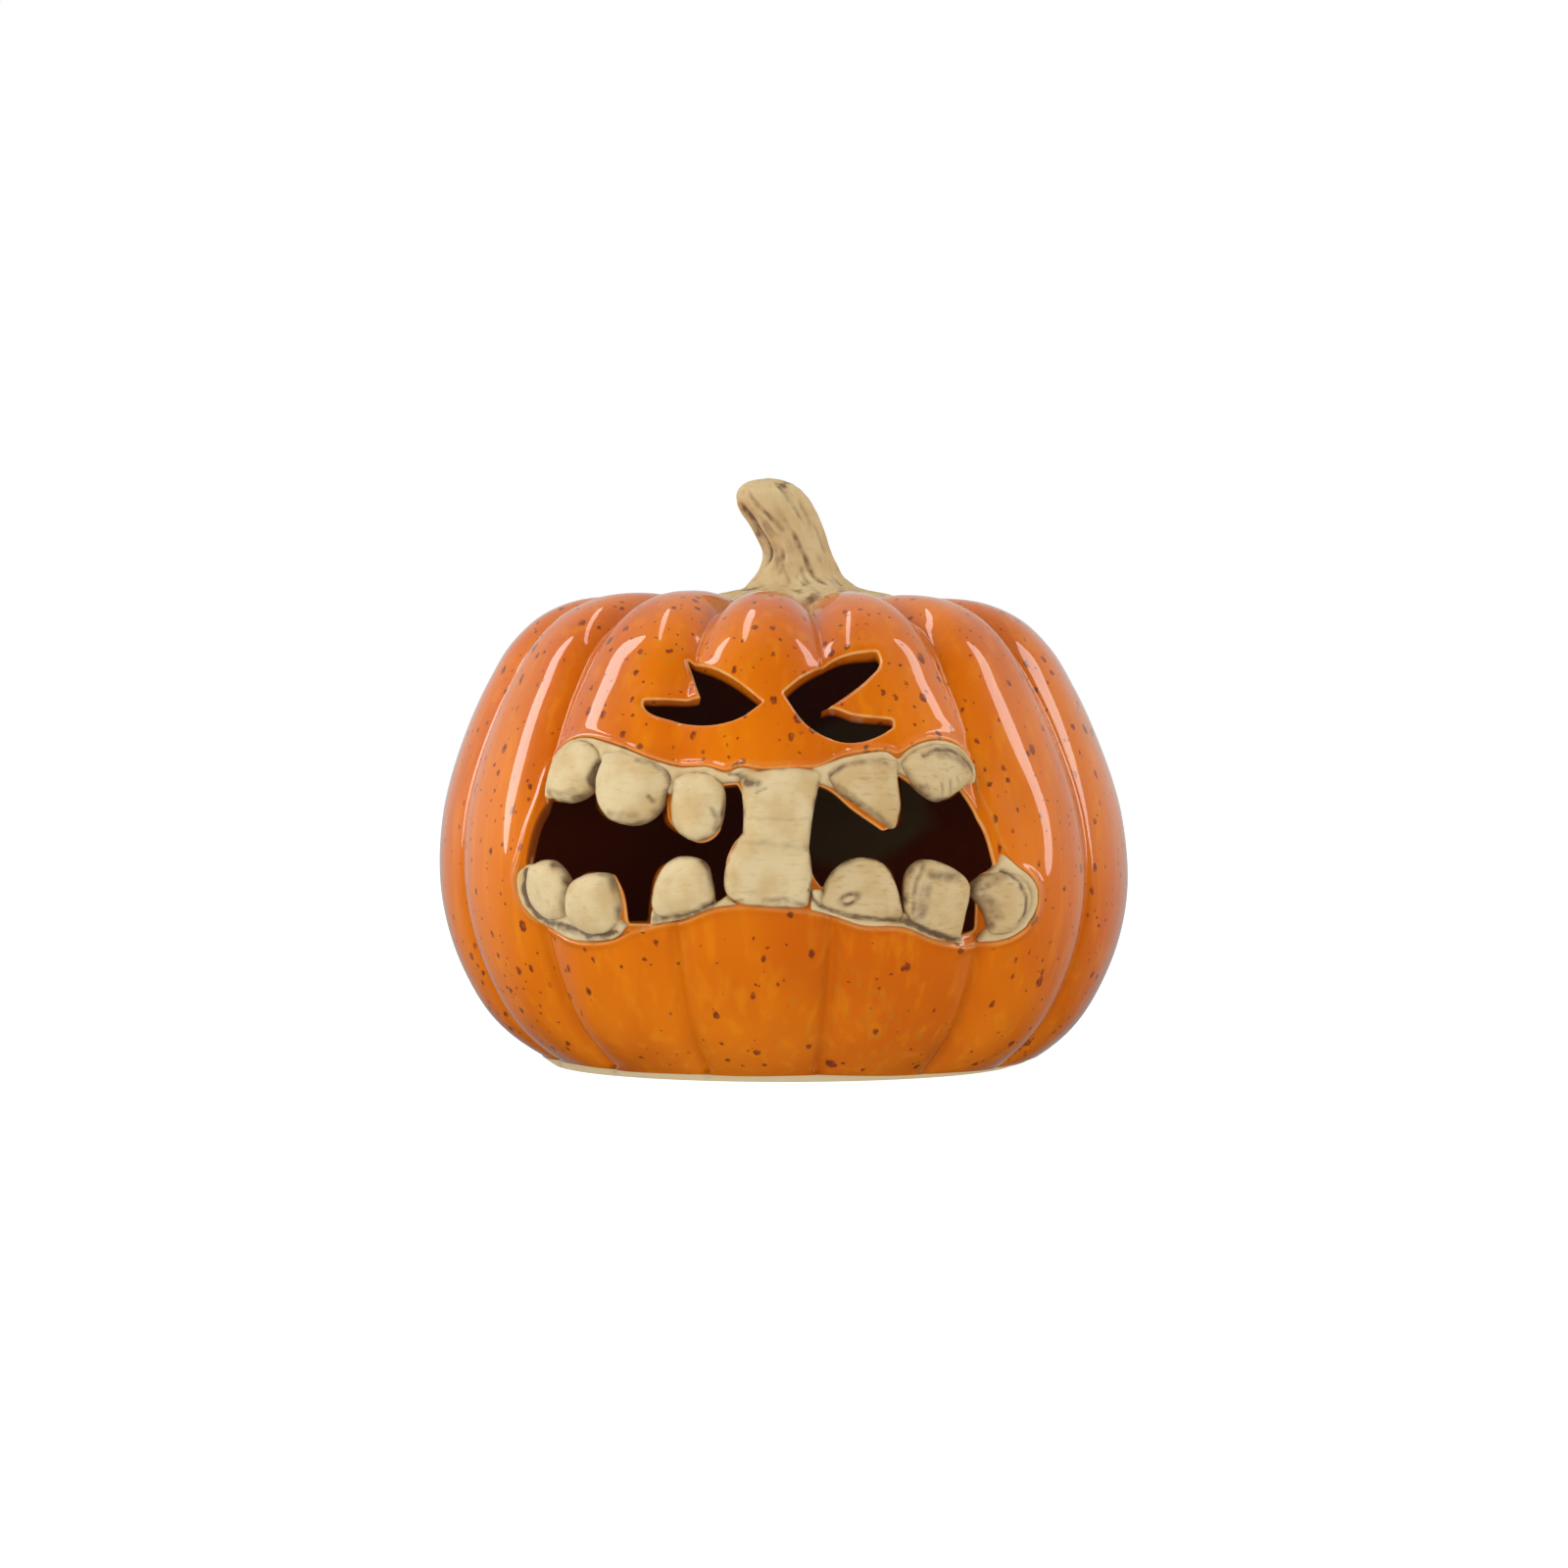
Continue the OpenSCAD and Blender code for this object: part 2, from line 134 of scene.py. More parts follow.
# ---------------------------------------------------------------- outlines of the face
# Each outline is a closed list of directions. Curves through its gentle corners make it round.
EYES = [
    [(-19.5, 34.7), (-14.2, 32.6), (-8.8, 29.6), (-3.7, 25.8), (-7.6, 23.1), (-12.5, 22),
     (-18.9, 22.9), (-25.3, 25.2), (-25.6, 26.3), (-15.1, 27.1)],
    [(-0.1, 27.5), (4, 31.1), (9.3, 34.2), (18.1, 35), (18.3, 33), (15.8, 30.4),
     (6.4, 24.6), (8, 25.3), (12, 23.7), (18.8, 22.8), (18.7, 21.6), (16.2, 20.2),
     (12.6, 19.2), (8.4, 19.7), (4, 22)],
]
MOUTHS = [
    [(-42.8, 9.6), (-37, 9.6), (-31.6, 11.3), (-30.5, 8.5), (-27.5, 6.4), (-23, 6.4),
     (-20, 9.7), (-19.6, 10.4), (-18.9, 6.5), (-16.5, 4.4), (-13, 3), (-10.2, 4.5),
     (-9.6, 8), (-9.8, 12), (-7.4, 12.2), (-6.3, 9.5), (-6.2, 5), (-7.8, 3),
     (-9, 0), (-8.6, -4.6), (-10.5, -6.2), (-11.5, -2.5), (-13.5, 0.4), (-16.5, 0.6),
     (-19.5, -1), (-21, -6), (-21.6, -9.7), (-25.5, -9.7), (-26, -5), (-27.5, -2),
     (-31.5, -1.8), (-35.3, -3.9), (-39.5, -0.6), (-45.8, -0.8), (-44.6, 5)],
    [(5.5, 12.3), (7.5, 11.5), (11, 8.2), (15.5, 4.8), (17.8, 5.6), (18.6, 9),
     (18.6, 13.7), (21, 12), (23.5, 9.9), (26, 9.9), (30, 11.6), (32.2, 8.9),
     (34, 5.5), (35.6, -1), (31.6, -3.5), (32.4, -6.5), (33.2, -11), (29.2, -11.7),
     (29.2, -7), (29.8, -3.8), (27.5, -2.1), (25, -0.5), (21.9, 0), (20, -1.2),
     (19, -5), (18.7, -7.4), (17.5, -4), (16, -0.8), (13.8, 0.4), (11, 0.4),
     (8.5, -1.2), (6, -4), (4.6, -2), (3.8, 2.5), (4.2, 7)],
]
# The edge of the glazed lip round the whole mouth
LIP = [(-44.4, 10.5), (-43.9, 14), (-42.9, 17.2), (-40, 19.2), (-35.5, 19.9), (-31, 19.1),
       (-27, 18), (-22, 16.4), (-17, 15.4), (-12, 15), (-9, 14.2), (-7.2, 14.9), (-3, 14.4),
       (2, 14.8), (5.4, 15), (9, 16.8), (13, 17.4), (17, 17.4), (18.6, 16.6), (20.5, 17.8),
       (24, 19.2), (28, 19.5), (31.5, 18.6), (34, 15.5), (33.6, 12), (35.4, 6.4), (37, 1.8),
       (38.6, -0.4), (41.4, -2.2), (42.9, -4.6), (42.6, -8.2), (40.6, -10.8), (37, -12.6), (33, -13.1),
       (29.4, -13), (24, -12), (18.5, -10), (12, -9.8), (8, -8.6), (4, -7.4), (-1.5, -6.8),
       (-7, -6.5), (-11, -7.1), (-16, -9.1), (-21.5, -10), (-25.5, -11), (-27, -11.8),
       (-31.5, -12.6), (-36, -12.4), (-40, -11.2), (-44, -10.2), (-46.6, -8), (-47.7, -5),
       (-48, -2), (-47, 0.4), (-46, 4.6)]

# name: (height, width of the rounded edge, lean towards the top, lean towards the right, outline)
TEETH = {
    "upper_left_tooth_1": (4.0, 6.5, -0.11, 0.03, [
        (-41.5, 10.5), (-36.5, 9.5), (-32, 11.5), (-31.2, 14.5), (-32, 17.2), (-35.6, 18.9),
        (-39.7, 18.1), (-42.1, 16), (-42.4, 13.5)]),
    "upper_left_tooth_2": (4.6, 7, -0.1, 0.0, [
        (-30.9, 14.6), (-30.6, 11), (-29.5, 8.5), (-27, 6.4), (-23, 6.2), (-20.3, 8.4),
        (-19.3, 11), (-19, 13.6), (-20.5, 15), (-24, 16.1), (-28, 17), (-30.2, 16.8)]),
    "upper_left_tooth_3": (4.4, 6, -0.08, -0.06, [
        (-18.1, 13.3), (-18.2, 8), (-17.5, 5.5), (-13.8, 3.3), (-10.3, 4.8), (-9.4, 7.5),
        (-9.7, 12), (-12, 13.8), (-15.8, 14.2)]),
    "centre_upper_tooth": (2.9, 4.5, -0.13, 0.0, [
        (-6.6, 13.6), (-5.9, 7), (-6.2, 1.8), (3.4, 1.4), (4.3, 8), (5.8, 14.2),
        (2, 14.5), (-3, 14.1)]),
    "centre_lower_tooth": (3.4, 5, 0.05, 0.0, [
        (-6, 4.6), (-7.5, 2), (-8.7, -1.5), (-8.4, -4.6), (-7, -5.6), (-1.5, -6.3),
        (3.4, -6.5), (4, -2), (3.6, 1.8), (3.2, 4.2)]),
    "upper_right_tooth_1": (3.6, 3.2, -0.06, 0.03, [
        (7.1, 13.3), (8.5, 11.2), (11, 9.3), (14.3, 6.6), (17, 4.9), (18.1, 8.5), (18, 12),
        (18.4, 15.8), (15.6, 16.2), (12, 16), (9, 15.2)]),
    "upper_right_tooth_2": (3.8, 3.6, -0.1, 0.0, [
        (19, 15.1), (20.5, 13), (22.5, 10.9), (25, 9.7), (28.1, 11), (32, 13.3), (32.7, 15),
        (31, 17.4), (28, 18.3), (24, 18), (21.1, 16.9)]),
    "lower_left_tooth_1": (3.8, 6, 0.09, 0.0, [
        (-44.6, -1.1), (-45.2, -4.5), (-44, -7.9), (-41, -9.2), (-36.8, -8.6), (-36, -6.5),
        (-35.8, -3.7), (-38.5, -0.9), (-41.3, -0.2)]),
    "lower_left_tooth_2": (4.6, 6.5, 0.08, 0.0, [
        (-34.9, -4), (-35.6, -6), (-35.5, -8.5), (-33.2, -10.4), (-30, -11.1), (-27.6, -10.1),
        (-26.4, -7.5), (-26.8, -4.5), (-27.8, -2.2), (-30, -2), (-32.6, -2.5)]),
    "lower_left_tooth_3": (4.2, 6, 0.08, 0.02, [
        (-20.4, -4.7), (-20.6, -7), (-19.5, -8.6), (-13.5, -7.2), (-10.9, -5.8),
        (-11.3, -3.2), (-12.3, -0.3), (-14.5, 0.6), (-17.5, 0.3), (-19.5, -2)]),
    "lower_right_tooth_1": (3.4, 3.8, 0.05, 0.0, [
        (6.2, -4.6), (5.9, -6.1), (7.5, -7.4), (11.4, -8.4), (18, -8.6), (17.8, -7),
        (16.5, -2.8), (15, -0.4), (12.5, 0.5), (9.9, 0), (7.5, -2)]),
    "lower_right_tooth_2": (4.0, 3.2, 0.06, 0.05, [
        (19.2, -8), (21, -9.4), (25.4, -11.2), (28.1, -11.8), (28.6, -8), (29.2, -4.5),
        (28.8, -3), (25, -0.6), (21.6, 0.1), (19.6, -1.2), (18.8, -4)]),
    "lower_right_tooth_3": (4.0, 3.6, 0.02, -0.05, [
        (30.2, -4.3), (32, -5.8), (33.8, -7.6), (34.6, -9.4), (34.8, -11.3), (37.4, -10.9), (39.4, -9.2),
        (40.5, -7.2), (40.6, -5), (39.4, -3.1), (37.4, -2), (35.5, -2), (32.8, -2.9)]),
}
GUMS = {
    "upper_left_gum": [
        (-43, 10), (-43.4, 13.5), (-42.8, 17), (-40, 19), (-35.5, 19.7), (-31, 18.9),
        (-27, 17.8), (-22, 16.2), (-17, 15.2), (-12, 14.9), (-9, 13.9), (-7.2, 14.7),
        (-4, 14.3), (-5.6, 12.9), (-9.8, 12.3), (-19.2, 10.8), (-31, 11.8), (-36.5, 10.4)],
    "upper_right_gum": [
        (4.4, 12.9), (4.2, 14.8), (9, 16.6), (13, 17.2), (17, 17.2), (18.6, 16), (20.5, 17.6),
        (24, 19), (28, 19.3), (31.5, 18.4), (33.8, 15.5), (33.2, 12.6), (30.2, 12),
        (25, 11), (18.6, 14), (12, 9.6), (8, 11.8)],
    "lower_left_gum": [
        (-45, -0.4), (-47.3, -2.2), (-47.5, -5), (-46.4, -7.8), (-44, -10), (-40, -11),
        (-36, -12.2), (-31.5, -12.4), (-27, -11.6), (-25.2, -9.8), (-28, -8), (-35.5, -5),
        (-40, -4)],
    "lower_centre_gum": [
        (-21.5, -9.8), (-16, -8.9), (-11, -6.9), (-7, -6.3), (-8.4, -4.8), (-10.7, -6),
        (-14, -6), (-21, -7)],
    "lower_right_gum": [
        (4.2, -4), (4, -7.2), (8, -8.4), (12, -9.6), (18.5, -9.8), (24, -11.8), (29.4, -12.8),
        (29.1, -11.8), (27, -9), (18.8, -7.6), (12, -6), (6, -4.2)],
    "right_corner_gum": [
        (35.7, -0.6), (36.4, 1.2), (38.6, -0.6), (41.2, -2.4), (42.7, -4.6), (42.4, -8),
        (40.4, -10.6), (37, -12.4), (33, -12.9), (33.8, -11.6), (38, -7), (34.6, -4.4),
        (31.8, -3.8)],
}

# One degree of direction, in mm on the body
DEGREE = math.radians(1) * 114
SHARP_TURN = math.radians(55)
LINE_SPACING = 0.4


def curved(corners, spacing):
    """A closed line that bends smoothly through its gentle corners and keeps its sharp ones."""
    after = np.roll(corners, -1, axis=0) - corners
    way_out = unit(after)
    way_in = np.roll(way_out, 1, axis=0)
    way_through = unit(way_in + way_out + 1e-9)
    gentle = ((way_in * way_out).sum(1) > math.cos(SHARP_TURN))[:, None]
    leaving = np.where(gentle, way_through, way_out)
    arriving = np.roll(np.where(gentle, way_through, way_in), -1, axis=0)
    pieces = []
    for start, step, leave, arrive in zip(corners, after, leaving, arriving):
        length = np.linalg.norm(step)
        steps = max(1, math.ceil(length * DEGREE / spacing))
        t = (np.arange(steps) / steps)[:, None]
        pieces.append(start + (3 * t**2 - 2 * t**3) * step
                      + length * ((t**3 - 2 * t**2 + t) * leave + (t**3 - t**2) * arrive))
    return np.concatenate(pieces)


class Outline:
    """A closed line on the body. Its corners are rounded; distances to it are in mm."""

    def __init__(self, corners, rounding):
        loop = curved(np.array(corners, float), LINE_SPACING)
        reach = int(3 * rounding / LINE_SPACING) + 1
        shifts = np.arange(-reach, reach + 1)
        weights = np.exp(-0.5 * (shifts * LINE_SPACING / rounding) ** 2)
        weights /= weights.sum()
        self.angles = sum(weight * np.roll(loop, shift, axis=0) for weight, shift in zip(weights, shifts))
        if self.area() < 0:
            self.angles = self.angles[::-1].copy()
        self.points = on_body(self.angles)
        self.tree = kdtree.KDTree(len(self.points))
        for i, p in enumerate(self.points):
            self.tree.insert(p, i)
        self.tree.balance()

    def area(self):
        x, y = self.angles.T
        return 0.5 * np.sum(x * np.roll(y, -1) - y * np.roll(x, -1))

    def inside(self, angles):
        x, y = angles.T
        odd = np.zeros(len(angles), bool)
        for (x0, y0), (x1, y1) in zip(self.angles, np.roll(self.angles, -1, axis=0)):
            if y0 != y1:
                odd ^= ((y0 > y) != (y1 > y)) & (x < (x1 - x0) * (y - y0) / (y1 - y0) + x0)
        return odd

    def nearest(self, points):
        """Distances to the line from points in space, and the nearest points on the line."""
        n = len(self.points)
        near = np.array([self.tree.find(p)[1] for p in points], int)
        best = np.full(len(points), np.inf)
        spot = np.zeros((len(points), 3))
        for first in (near - 1, near):
            start = self.points[first % n]
            along = self.points[(first + 1) % n] - start
            t = np.clip(((points - start) * along).sum(1) / (along**2).sum(1), 0, 1)
            foot = start + along * t[:, None]
            distance = np.linalg.norm(points - foot, axis=1)
            closer = distance < best
            best[closer] = distance[closer]
            spot[closer] = foot[closer]
        return best, spot

    def signed(self, angles, points):
        """Distance to the line, positive outside it."""
        return np.where(self.inside(angles), -1, 1) * self.nearest(points)[0]

    def offset(self, distance):
        """Directions a distance outside the line, or inside it where negative."""
        stretch = np.stack([np.cos(np.radians(self.angles[:, 1])), np.ones(len(self.angles))], -1)
        along = (np.roll(self.angles, -2, axis=0) - np.roll(self.angles, 2, axis=0)) * stretch
        out = unit(np.stack([along[:, 1], -along[:, 0]], -1))
        return self.angles + out * distance / DEGREE / stretch


def outside_all(outlines, angles):
    """Which directions lie outside every outline."""
    return ~np.any([outline.inside(angles) for outline in outlines], axis=0)


# ---------------------------------------------------------------- mesh building
def ring_edges(loops):
    """Edges round closed loops whose points are numbered one loop after another."""
    edges = []
    start = 0
    for loop in loops:
        edges += [(start + i, start + (i + 1) % len(loop)) for i in range(len(loop))]
        start += len(loop)
    return edges


def constrained(points, edges):
    """A triangulation that keeps some edges: its points, which given points they are, its triangles."""
    found = delaunay_2d_cdt([Vector(p) for p in points], edges, [], 0, 1e-7)
    triangles = np.array([face for face in found[2] if len(face) == 3])
    return np.array([tuple(p) for p in found[0]]), found[3], triangles


def facing_out(points, triangles):
    a, b, c = (points[triangles[:, k]] for k in range(3))
    turn = (b - a)[:, 0] * (c - a)[:, 1] - (b - a)[:, 1] * (c - a)[:, 0]
    triangles[turn < 0] = triangles[turn < 0][:, ::-1]
    return triangles


def triangulate(loops, loose):
    """Triangles between closed loops of directions and loose directions, which are all kept."""
    points = np.concatenate([*loops, loose])
    _, origins, triangles = constrained(points, ring_edges(loops))
    numbers = np.array([origin[0] for origin in origins])
    return points, facing_out(points, numbers[triangles])


def triangulate_part(points, edges, wanted):
    """The wanted triangles alone, with the points that they use."""
    points, _, triangles = constrained(points, edges)
    triangles = facing_out(points, triangles[wanted(points[triangles].mean(1))])
    used, numbers = np.unique(triangles, return_inverse=True)
    return points[used], numbers.reshape(-1, 3)


def scatter(low, high, spacing):
    """A regular field of directions, in rows that are half a step apart."""
    step = spacing / DEGREE
    rows = []
    for k, y in enumerate(np.arange(low[1] + step / 2, high[1], step * 0.866)):
        x = np.arange(low[0] + step * (0.25 + 0.5 * (k % 2)), high[0], step)
        rows.append(np.stack([x, np.full(len(x), y)], -1))
    return np.concatenate(rows)


def ring_quads(first, second):
    """Quads between two closed rings of point numbers."""
    return np.stack([first, np.roll(first, -1), np.roll(second, -1), second], -1)


def fan(ring, tip):
    """Triangles from a closed ring to its tip."""
    return np.stack([ring, np.roll(ring, -1), np.full(len(ring), tip)], -1)


def make_piece(name, points_mm, faces, materials, layers, slots=None, normals=None):
    mesh = bpy.data.meshes.new(name)
    mesh.from_pydata((np.asarray(points_mm) * MM).tolist(), [], [list(map(int, f)) for f in faces])
    for material in materials:
        mesh.materials.append(material)
    if slots is not None:
        mesh.polygons.foreach_set("material_index", np.asarray(slots, np.int32))
    mesh.polygons.foreach_set("use_smooth", np.ones(len(mesh.polygons), bool))
    for layer, values in layers.items():
        attribute = mesh.attributes.new(layer, "FLOAT", "POINT")
        attribute.data.foreach_set("value", np.asarray(values, np.float32))
    mesh.update()
    if normals is not None:
        mesh.normals_split_custom_set_from_vertices(normals.tolist())
    piece = bpy.data.objects.new(name, mesh)
    bpy.context.scene.collection.objects.link(piece)
    return piece


# ---------------------------------------------------------------- the glazed shell
GLAZED, BARE, DARK = range(3)
CUT_ROUND = 1.5
CUT_GAP = CUT_ROUND + 0.7
CUT_SHARES = (0.45, 0.9)
ROLL_HEIGHT, ROLL_WIDTH, ROLL_FADE = 0.85, 0.8, 1.3
LIP_ROWS = (-0.8, 0, 0.25, 0.55, 0.9, 1.3, 1.8, 2.4, 3.1)
LIP_EDGE = 0.4
LIP_SINK = 0.9
# The glaze drip, and a dent and a swelling at the right corner: (height, direction, size, turn)
MOUNDS = [(0.8, (29.3, -14), (1.3, 0.9), 20), (-0.9, (41, 8), (3.2, 9), 10), (0.5, (35.5, 9), (1.6, 6), 12)]
EYE_SWELLING = 0.15
BROW_FILL = 0.6
COLUMNS = LOBES * 16
COLUMN_STEP = 360 / COLUMNS
GATHERED = 0.6
SEAM_WIDTH = 1.25
SEAM_DEPTH = 0.7
LOW_SEAM_EXTRA = 0.6
SEAM_ROWS = (-1.8, -0.9, 0, 0.9, 1.8)
SEAM_STEP = 0.6
FLARE = 3.0
ROW_STEP = 1.5
FACE_COLUMNS = 38
FACE_LOW, FACE_HIGH = -24.0, 42.0
FACE_ROWS = np.arange(FACE_LOW, FACE_HIGH + 0.1, ROW_STEP)
LOW_ROWS = 11
CROWN_ROWS = 35
LOWEST_ROW = 3.4
INNER_LOW = -34
INNER_LOW_ROWS = 4
INNER_CROWN_ROWS = 13
CREST_TOP = PROFILE[-1][1]
# Spacing of the face's mesh: close by the lip and the openings, further away, and inside
FINE_STEP, COARSE_STEP, INNER_STEP = 1.25, 2.6, 4.5
FINE_REACH, COARSE_START = 7, 7.8
FOOT_EDGE = 0.8

eyes = [Outline(corners, 0.5) for corners in EYES]
mouths = [Outline(corners, 0.6) for corners in MOUTHS]
cuts = eyes + mouths
cut_loops = [cut.angles[::2] for cut in cuts]
lip = Outline(LIP, 1.5)


def column_az(k):
    """Directions of the body's columns, which gather towards the creases."""
    even = np.asarray(k) * COLUMN_STEP
    lobe = 360 / LOBES
    return even - GATHERED * lobe / (2 * math.pi) * np.sin(2 * math.pi * (even - FIRST_CREASE) / lobe)


def from_seam(az, el):
    """How far a direction is from the bottom of the nearest crease, in mm."""
    turn = (az - FIRST_CREASE) * LOBES / 360
    return np.abs(turn - np.round(turn)) * 360 / LOBES * DEGREE * np.cos(np.radians(el))


def pooling(az, el):
    """Where the glaze gathers: 1 in the deepest crease."""
    return np.maximum(crease_depth(az, el) / DEEPEST_CREASE, 0.6 * bell(from_seam(az, el), SEAM_WIDTH))


def flared(az, edge):
    """Directions of the inner wall, so that the openings are cut straight towards the front."""
    turn = np.abs(az) / edge
    return az + np.sign(az) * FLARE * np.sin(math.pi * np.clip(turn, 0, 1) ** 1.6)


def lobe_wander(az, el):
    """Slow unevenness of a hand-finished body."""
    a = np.radians(az)
    e = np.radians(el)
    return np.cos(e) ** 2 * (0.35 * np.sin(3 * a + 2 * e + 0.6) + 0.25 * np.sin(5 * a - 3 * e + 2))


def bump(az, el, at, size, turn=0.0):
    """A smooth mound: 1 at a direction, fading over a size in degrees along and across."""
    c, s = math.cos(math.radians(turn)), math.sin(math.radians(turn))
    x, y = az - at[0], el - at[1]
    return bell(c * x + s * y, size[0]) * bell(c * y - s * x, size[1])


def lip_relief(az, el, from_lip):
    """The raised roll along the lip and the sunken clay inside it, both flatter at the upper corners."""
    roll = np.where(from_lip < ROLL_WIDTH, rounded(from_lip / ROLL_WIDTH),
                    bell(from_lip - ROLL_WIDTH, ROLL_FADE))
    corners = np.maximum(0.85 * smoothstep(31, 35, az), 0.5 * smoothstep(-41, -44, az))
    plain = smoothstep(-3, 0, el) * corners
    sunk = smoothstep(0.6, -1.8, from_lip) * (1 - 0.5 * plain)
    return ROLL_HEIGHT * roll * (1 - plain) - LIP_SINK * sunk


def sculpted_radius(az, el, on_face):
    """The glazed surface: the uneven body with its seams and, on the face, the lip and its mounds."""
    low = smoothstep(4, -10, el)
    seam = (SEAM_DEPTH + LOW_SEAM_EXTRA * low) * bell(from_seam(az, el), SEAM_WIDTH + 0.5 * low)
    radius = body_radius(az, el) + lobe_wander(az, el)
    if not on_face:
        return radius - seam
    angles = np.stack([az, el], -1)
    base = on_body(angles)
    from_lip = lip.signed(angles, base)
    brow = smoothstep(38, 26, np.abs(az)) * smoothstep(33, 20, el) * smoothstep(0, 6, el)
    radius += BROW_FILL * brow * smoothstep(1.5, 7, from_lip) * crease_depth(az, el)
    radius += lip_relief(az, el, from_lip) - seam * (1 - brow)
    for height, at, size, turn in MOUNDS:
        radius += height * bump(az, el, at, size, turn)
    for eye in eyes:
        radius += EYE_SWELLING * bell(eye.nearest(base)[0] - 2.4, 1.6)
    return radius


def surface_normals(az, el, on_face):
    """Points of the glazed surface and its normals."""
    step = 0.12
    here = place(az, el, sculpted_radius(az, el, on_face))
    across = place(az + step, el, sculpted_radius(az + step, el, on_face)) - here
    up = place(az, el + step, sculpted_radius(az, el + step, on_face)) - here
    return here, unit(np.cross(across, up))


def lowest_elevation(az):
    """Elevation at which the outside reaches its lowest row, just above the foot."""
    low = np.full(len(az), FOOT_ELEVATION)
    high = np.full(len(az), FACE_LOW)
    for _ in range(30):
        middle = (low + high) / 2
        under = CORE_Z + sculpted_radius(az, middle, False) * np.sin(np.radians(middle)) < LOWEST_ROW
        low = np.where(under, middle, low)
        high = np.where(under, high, middle)
    return low


def glaze_line(az):
    """Height where the glaze stops above the foot."""
    a = np.radians(az)
    return 1.7 - 0.6 * np.sin(a) + 0.25 * np.sin(5 * a + 1) + 0.15 * np.sin(11 * a)


class Skin:
    """The shell's mesh as it grows."""

    def __init__(self):
        self.points, self.normals, self.faces, self.slots = [], [], [], []
        self.layers = {"pooled": [], "broken": [], "deep": []}
        self.count = 0

    def add(self, points, normals, pooled=0.0, broken=0.0, deep=0.0):
        """Adds points and returns their numbers. The layers are 1 where glaze gathers, is worn off the
        edge, or lies in the shade of a cut."""
        self.points.append(points)
        self.normals.append(normals)
        for layer, values in zip(self.layers.values(), (pooled, broken, deep)):
            layer.append(np.broadcast_to(values, len(points)))
        self.count += len(points)
        return np.arange(self.count - len(points), self.count)

    def cover(self, faces, slot):
        self.faces += faces.tolist()
        self.slots += [slot] * len(faces)

    def piece(self, name, materials):
        layers = {layer: np.concatenate(values) for layer, values in self.layers.items()}
        return make_piece(name, np.concatenate(self.points), self.faces, materials, layers,
                          self.slots, np.concatenate(self.normals))


def wall_round_face(skin, azimuths, elevations, face_rows, half, surface, slot, order=(0, 1, 2, 3)):
    """Rows of points and quads round the body, with a window left out for the face.

    surface gives points, normals and layers for directions, half is how many columns the window
    reaches to each side, and order is the order of a quad's corners. Returns the grid of point
    numbers, and the numbers and directions round the window.
    """
    first, last = face_rows
    columns = len(azimuths)
    window = np.arange(-half, half + 1)
    elevations = np.array([np.broadcast_to(row, columns) for row in elevations])
    grid = np.full(elevations.shape, -1)
    for r, row in enumerate(elevations):
        used = np.ones(columns, bool)
        used[window[1:-1]] = not first < r < last
        grid[r, used] = skin.add(*surface(azimuths[used], row[used]))
    for r in range(len(grid) - 1):
        used = np.ones(columns, bool)
        used[window[:-1]] = not first <= r < last
        skin.cover(ring_quads(grid[r], grid[r + 1])[used][:, order], slot)
    border = ([(first, c) for c in window] + [(r, half) for r in range(first + 1, last + 1)]
              + [(last, c) for c in window[::-1][1:]] + [(r, -half) for r in range(last - 1, first, -1)])
    numbers = np.array([grid[spot] for spot in border])
    angles = np.array([(column_az(c * COLUMNS / columns), elevations[r, c]) for r, c in border])
    return grid, numbers, angles


def build_outside(skin):
    """The glazed outside, down to its lowest row."""
    azimuths = column_az(np.arange(COLUMNS))
    lowest = lowest_elevation(azimuths)
    low = [lowest + (FACE_LOW - lowest) * share for share in np.arange(LOW_ROWS) / LOW_ROWS]
    crown = np.linspace(FACE_HIGH, 89, CROWN_ROWS + 1)[1:]
    face_rows = (LOW_ROWS, LOW_ROWS + len(FACE_ROWS) - 1)

    def surface(az, el):
        return *surface_normals(az, el, False), pooling(az, el)

    grid, numbers, angles = wall_round_face(skin, azimuths, [*low, *FACE_ROWS, *crown], face_rows,
                                            FACE_COLUMNS, surface, GLAZED)
    pole = skin.add(np.array([[0, 0, CORE_Z + CREST_TOP]]), np.array([[0, 0, 1.0]]))[0]
    skin.cover(fan(grid[-1], pole), GLAZED)
    return grid[0], numbers, angles


def cut_distance(angles):
    """Distances to the nearest opening's edge, negative inside it, with the nearest and the given points."""
    base = on_body(angles)
    best = np.full(len(angles), np.inf)
    spot = np.zeros((len(angles), 3))
    for cut in cuts:
        distance, foot = cut.nearest(base)
        distance = np.where(cut.inside(angles), -distance, distance)
        closer = distance < best
        best[closer] = distance[closer]
        spot[closer] = foot[closer]
    return best, spot, base


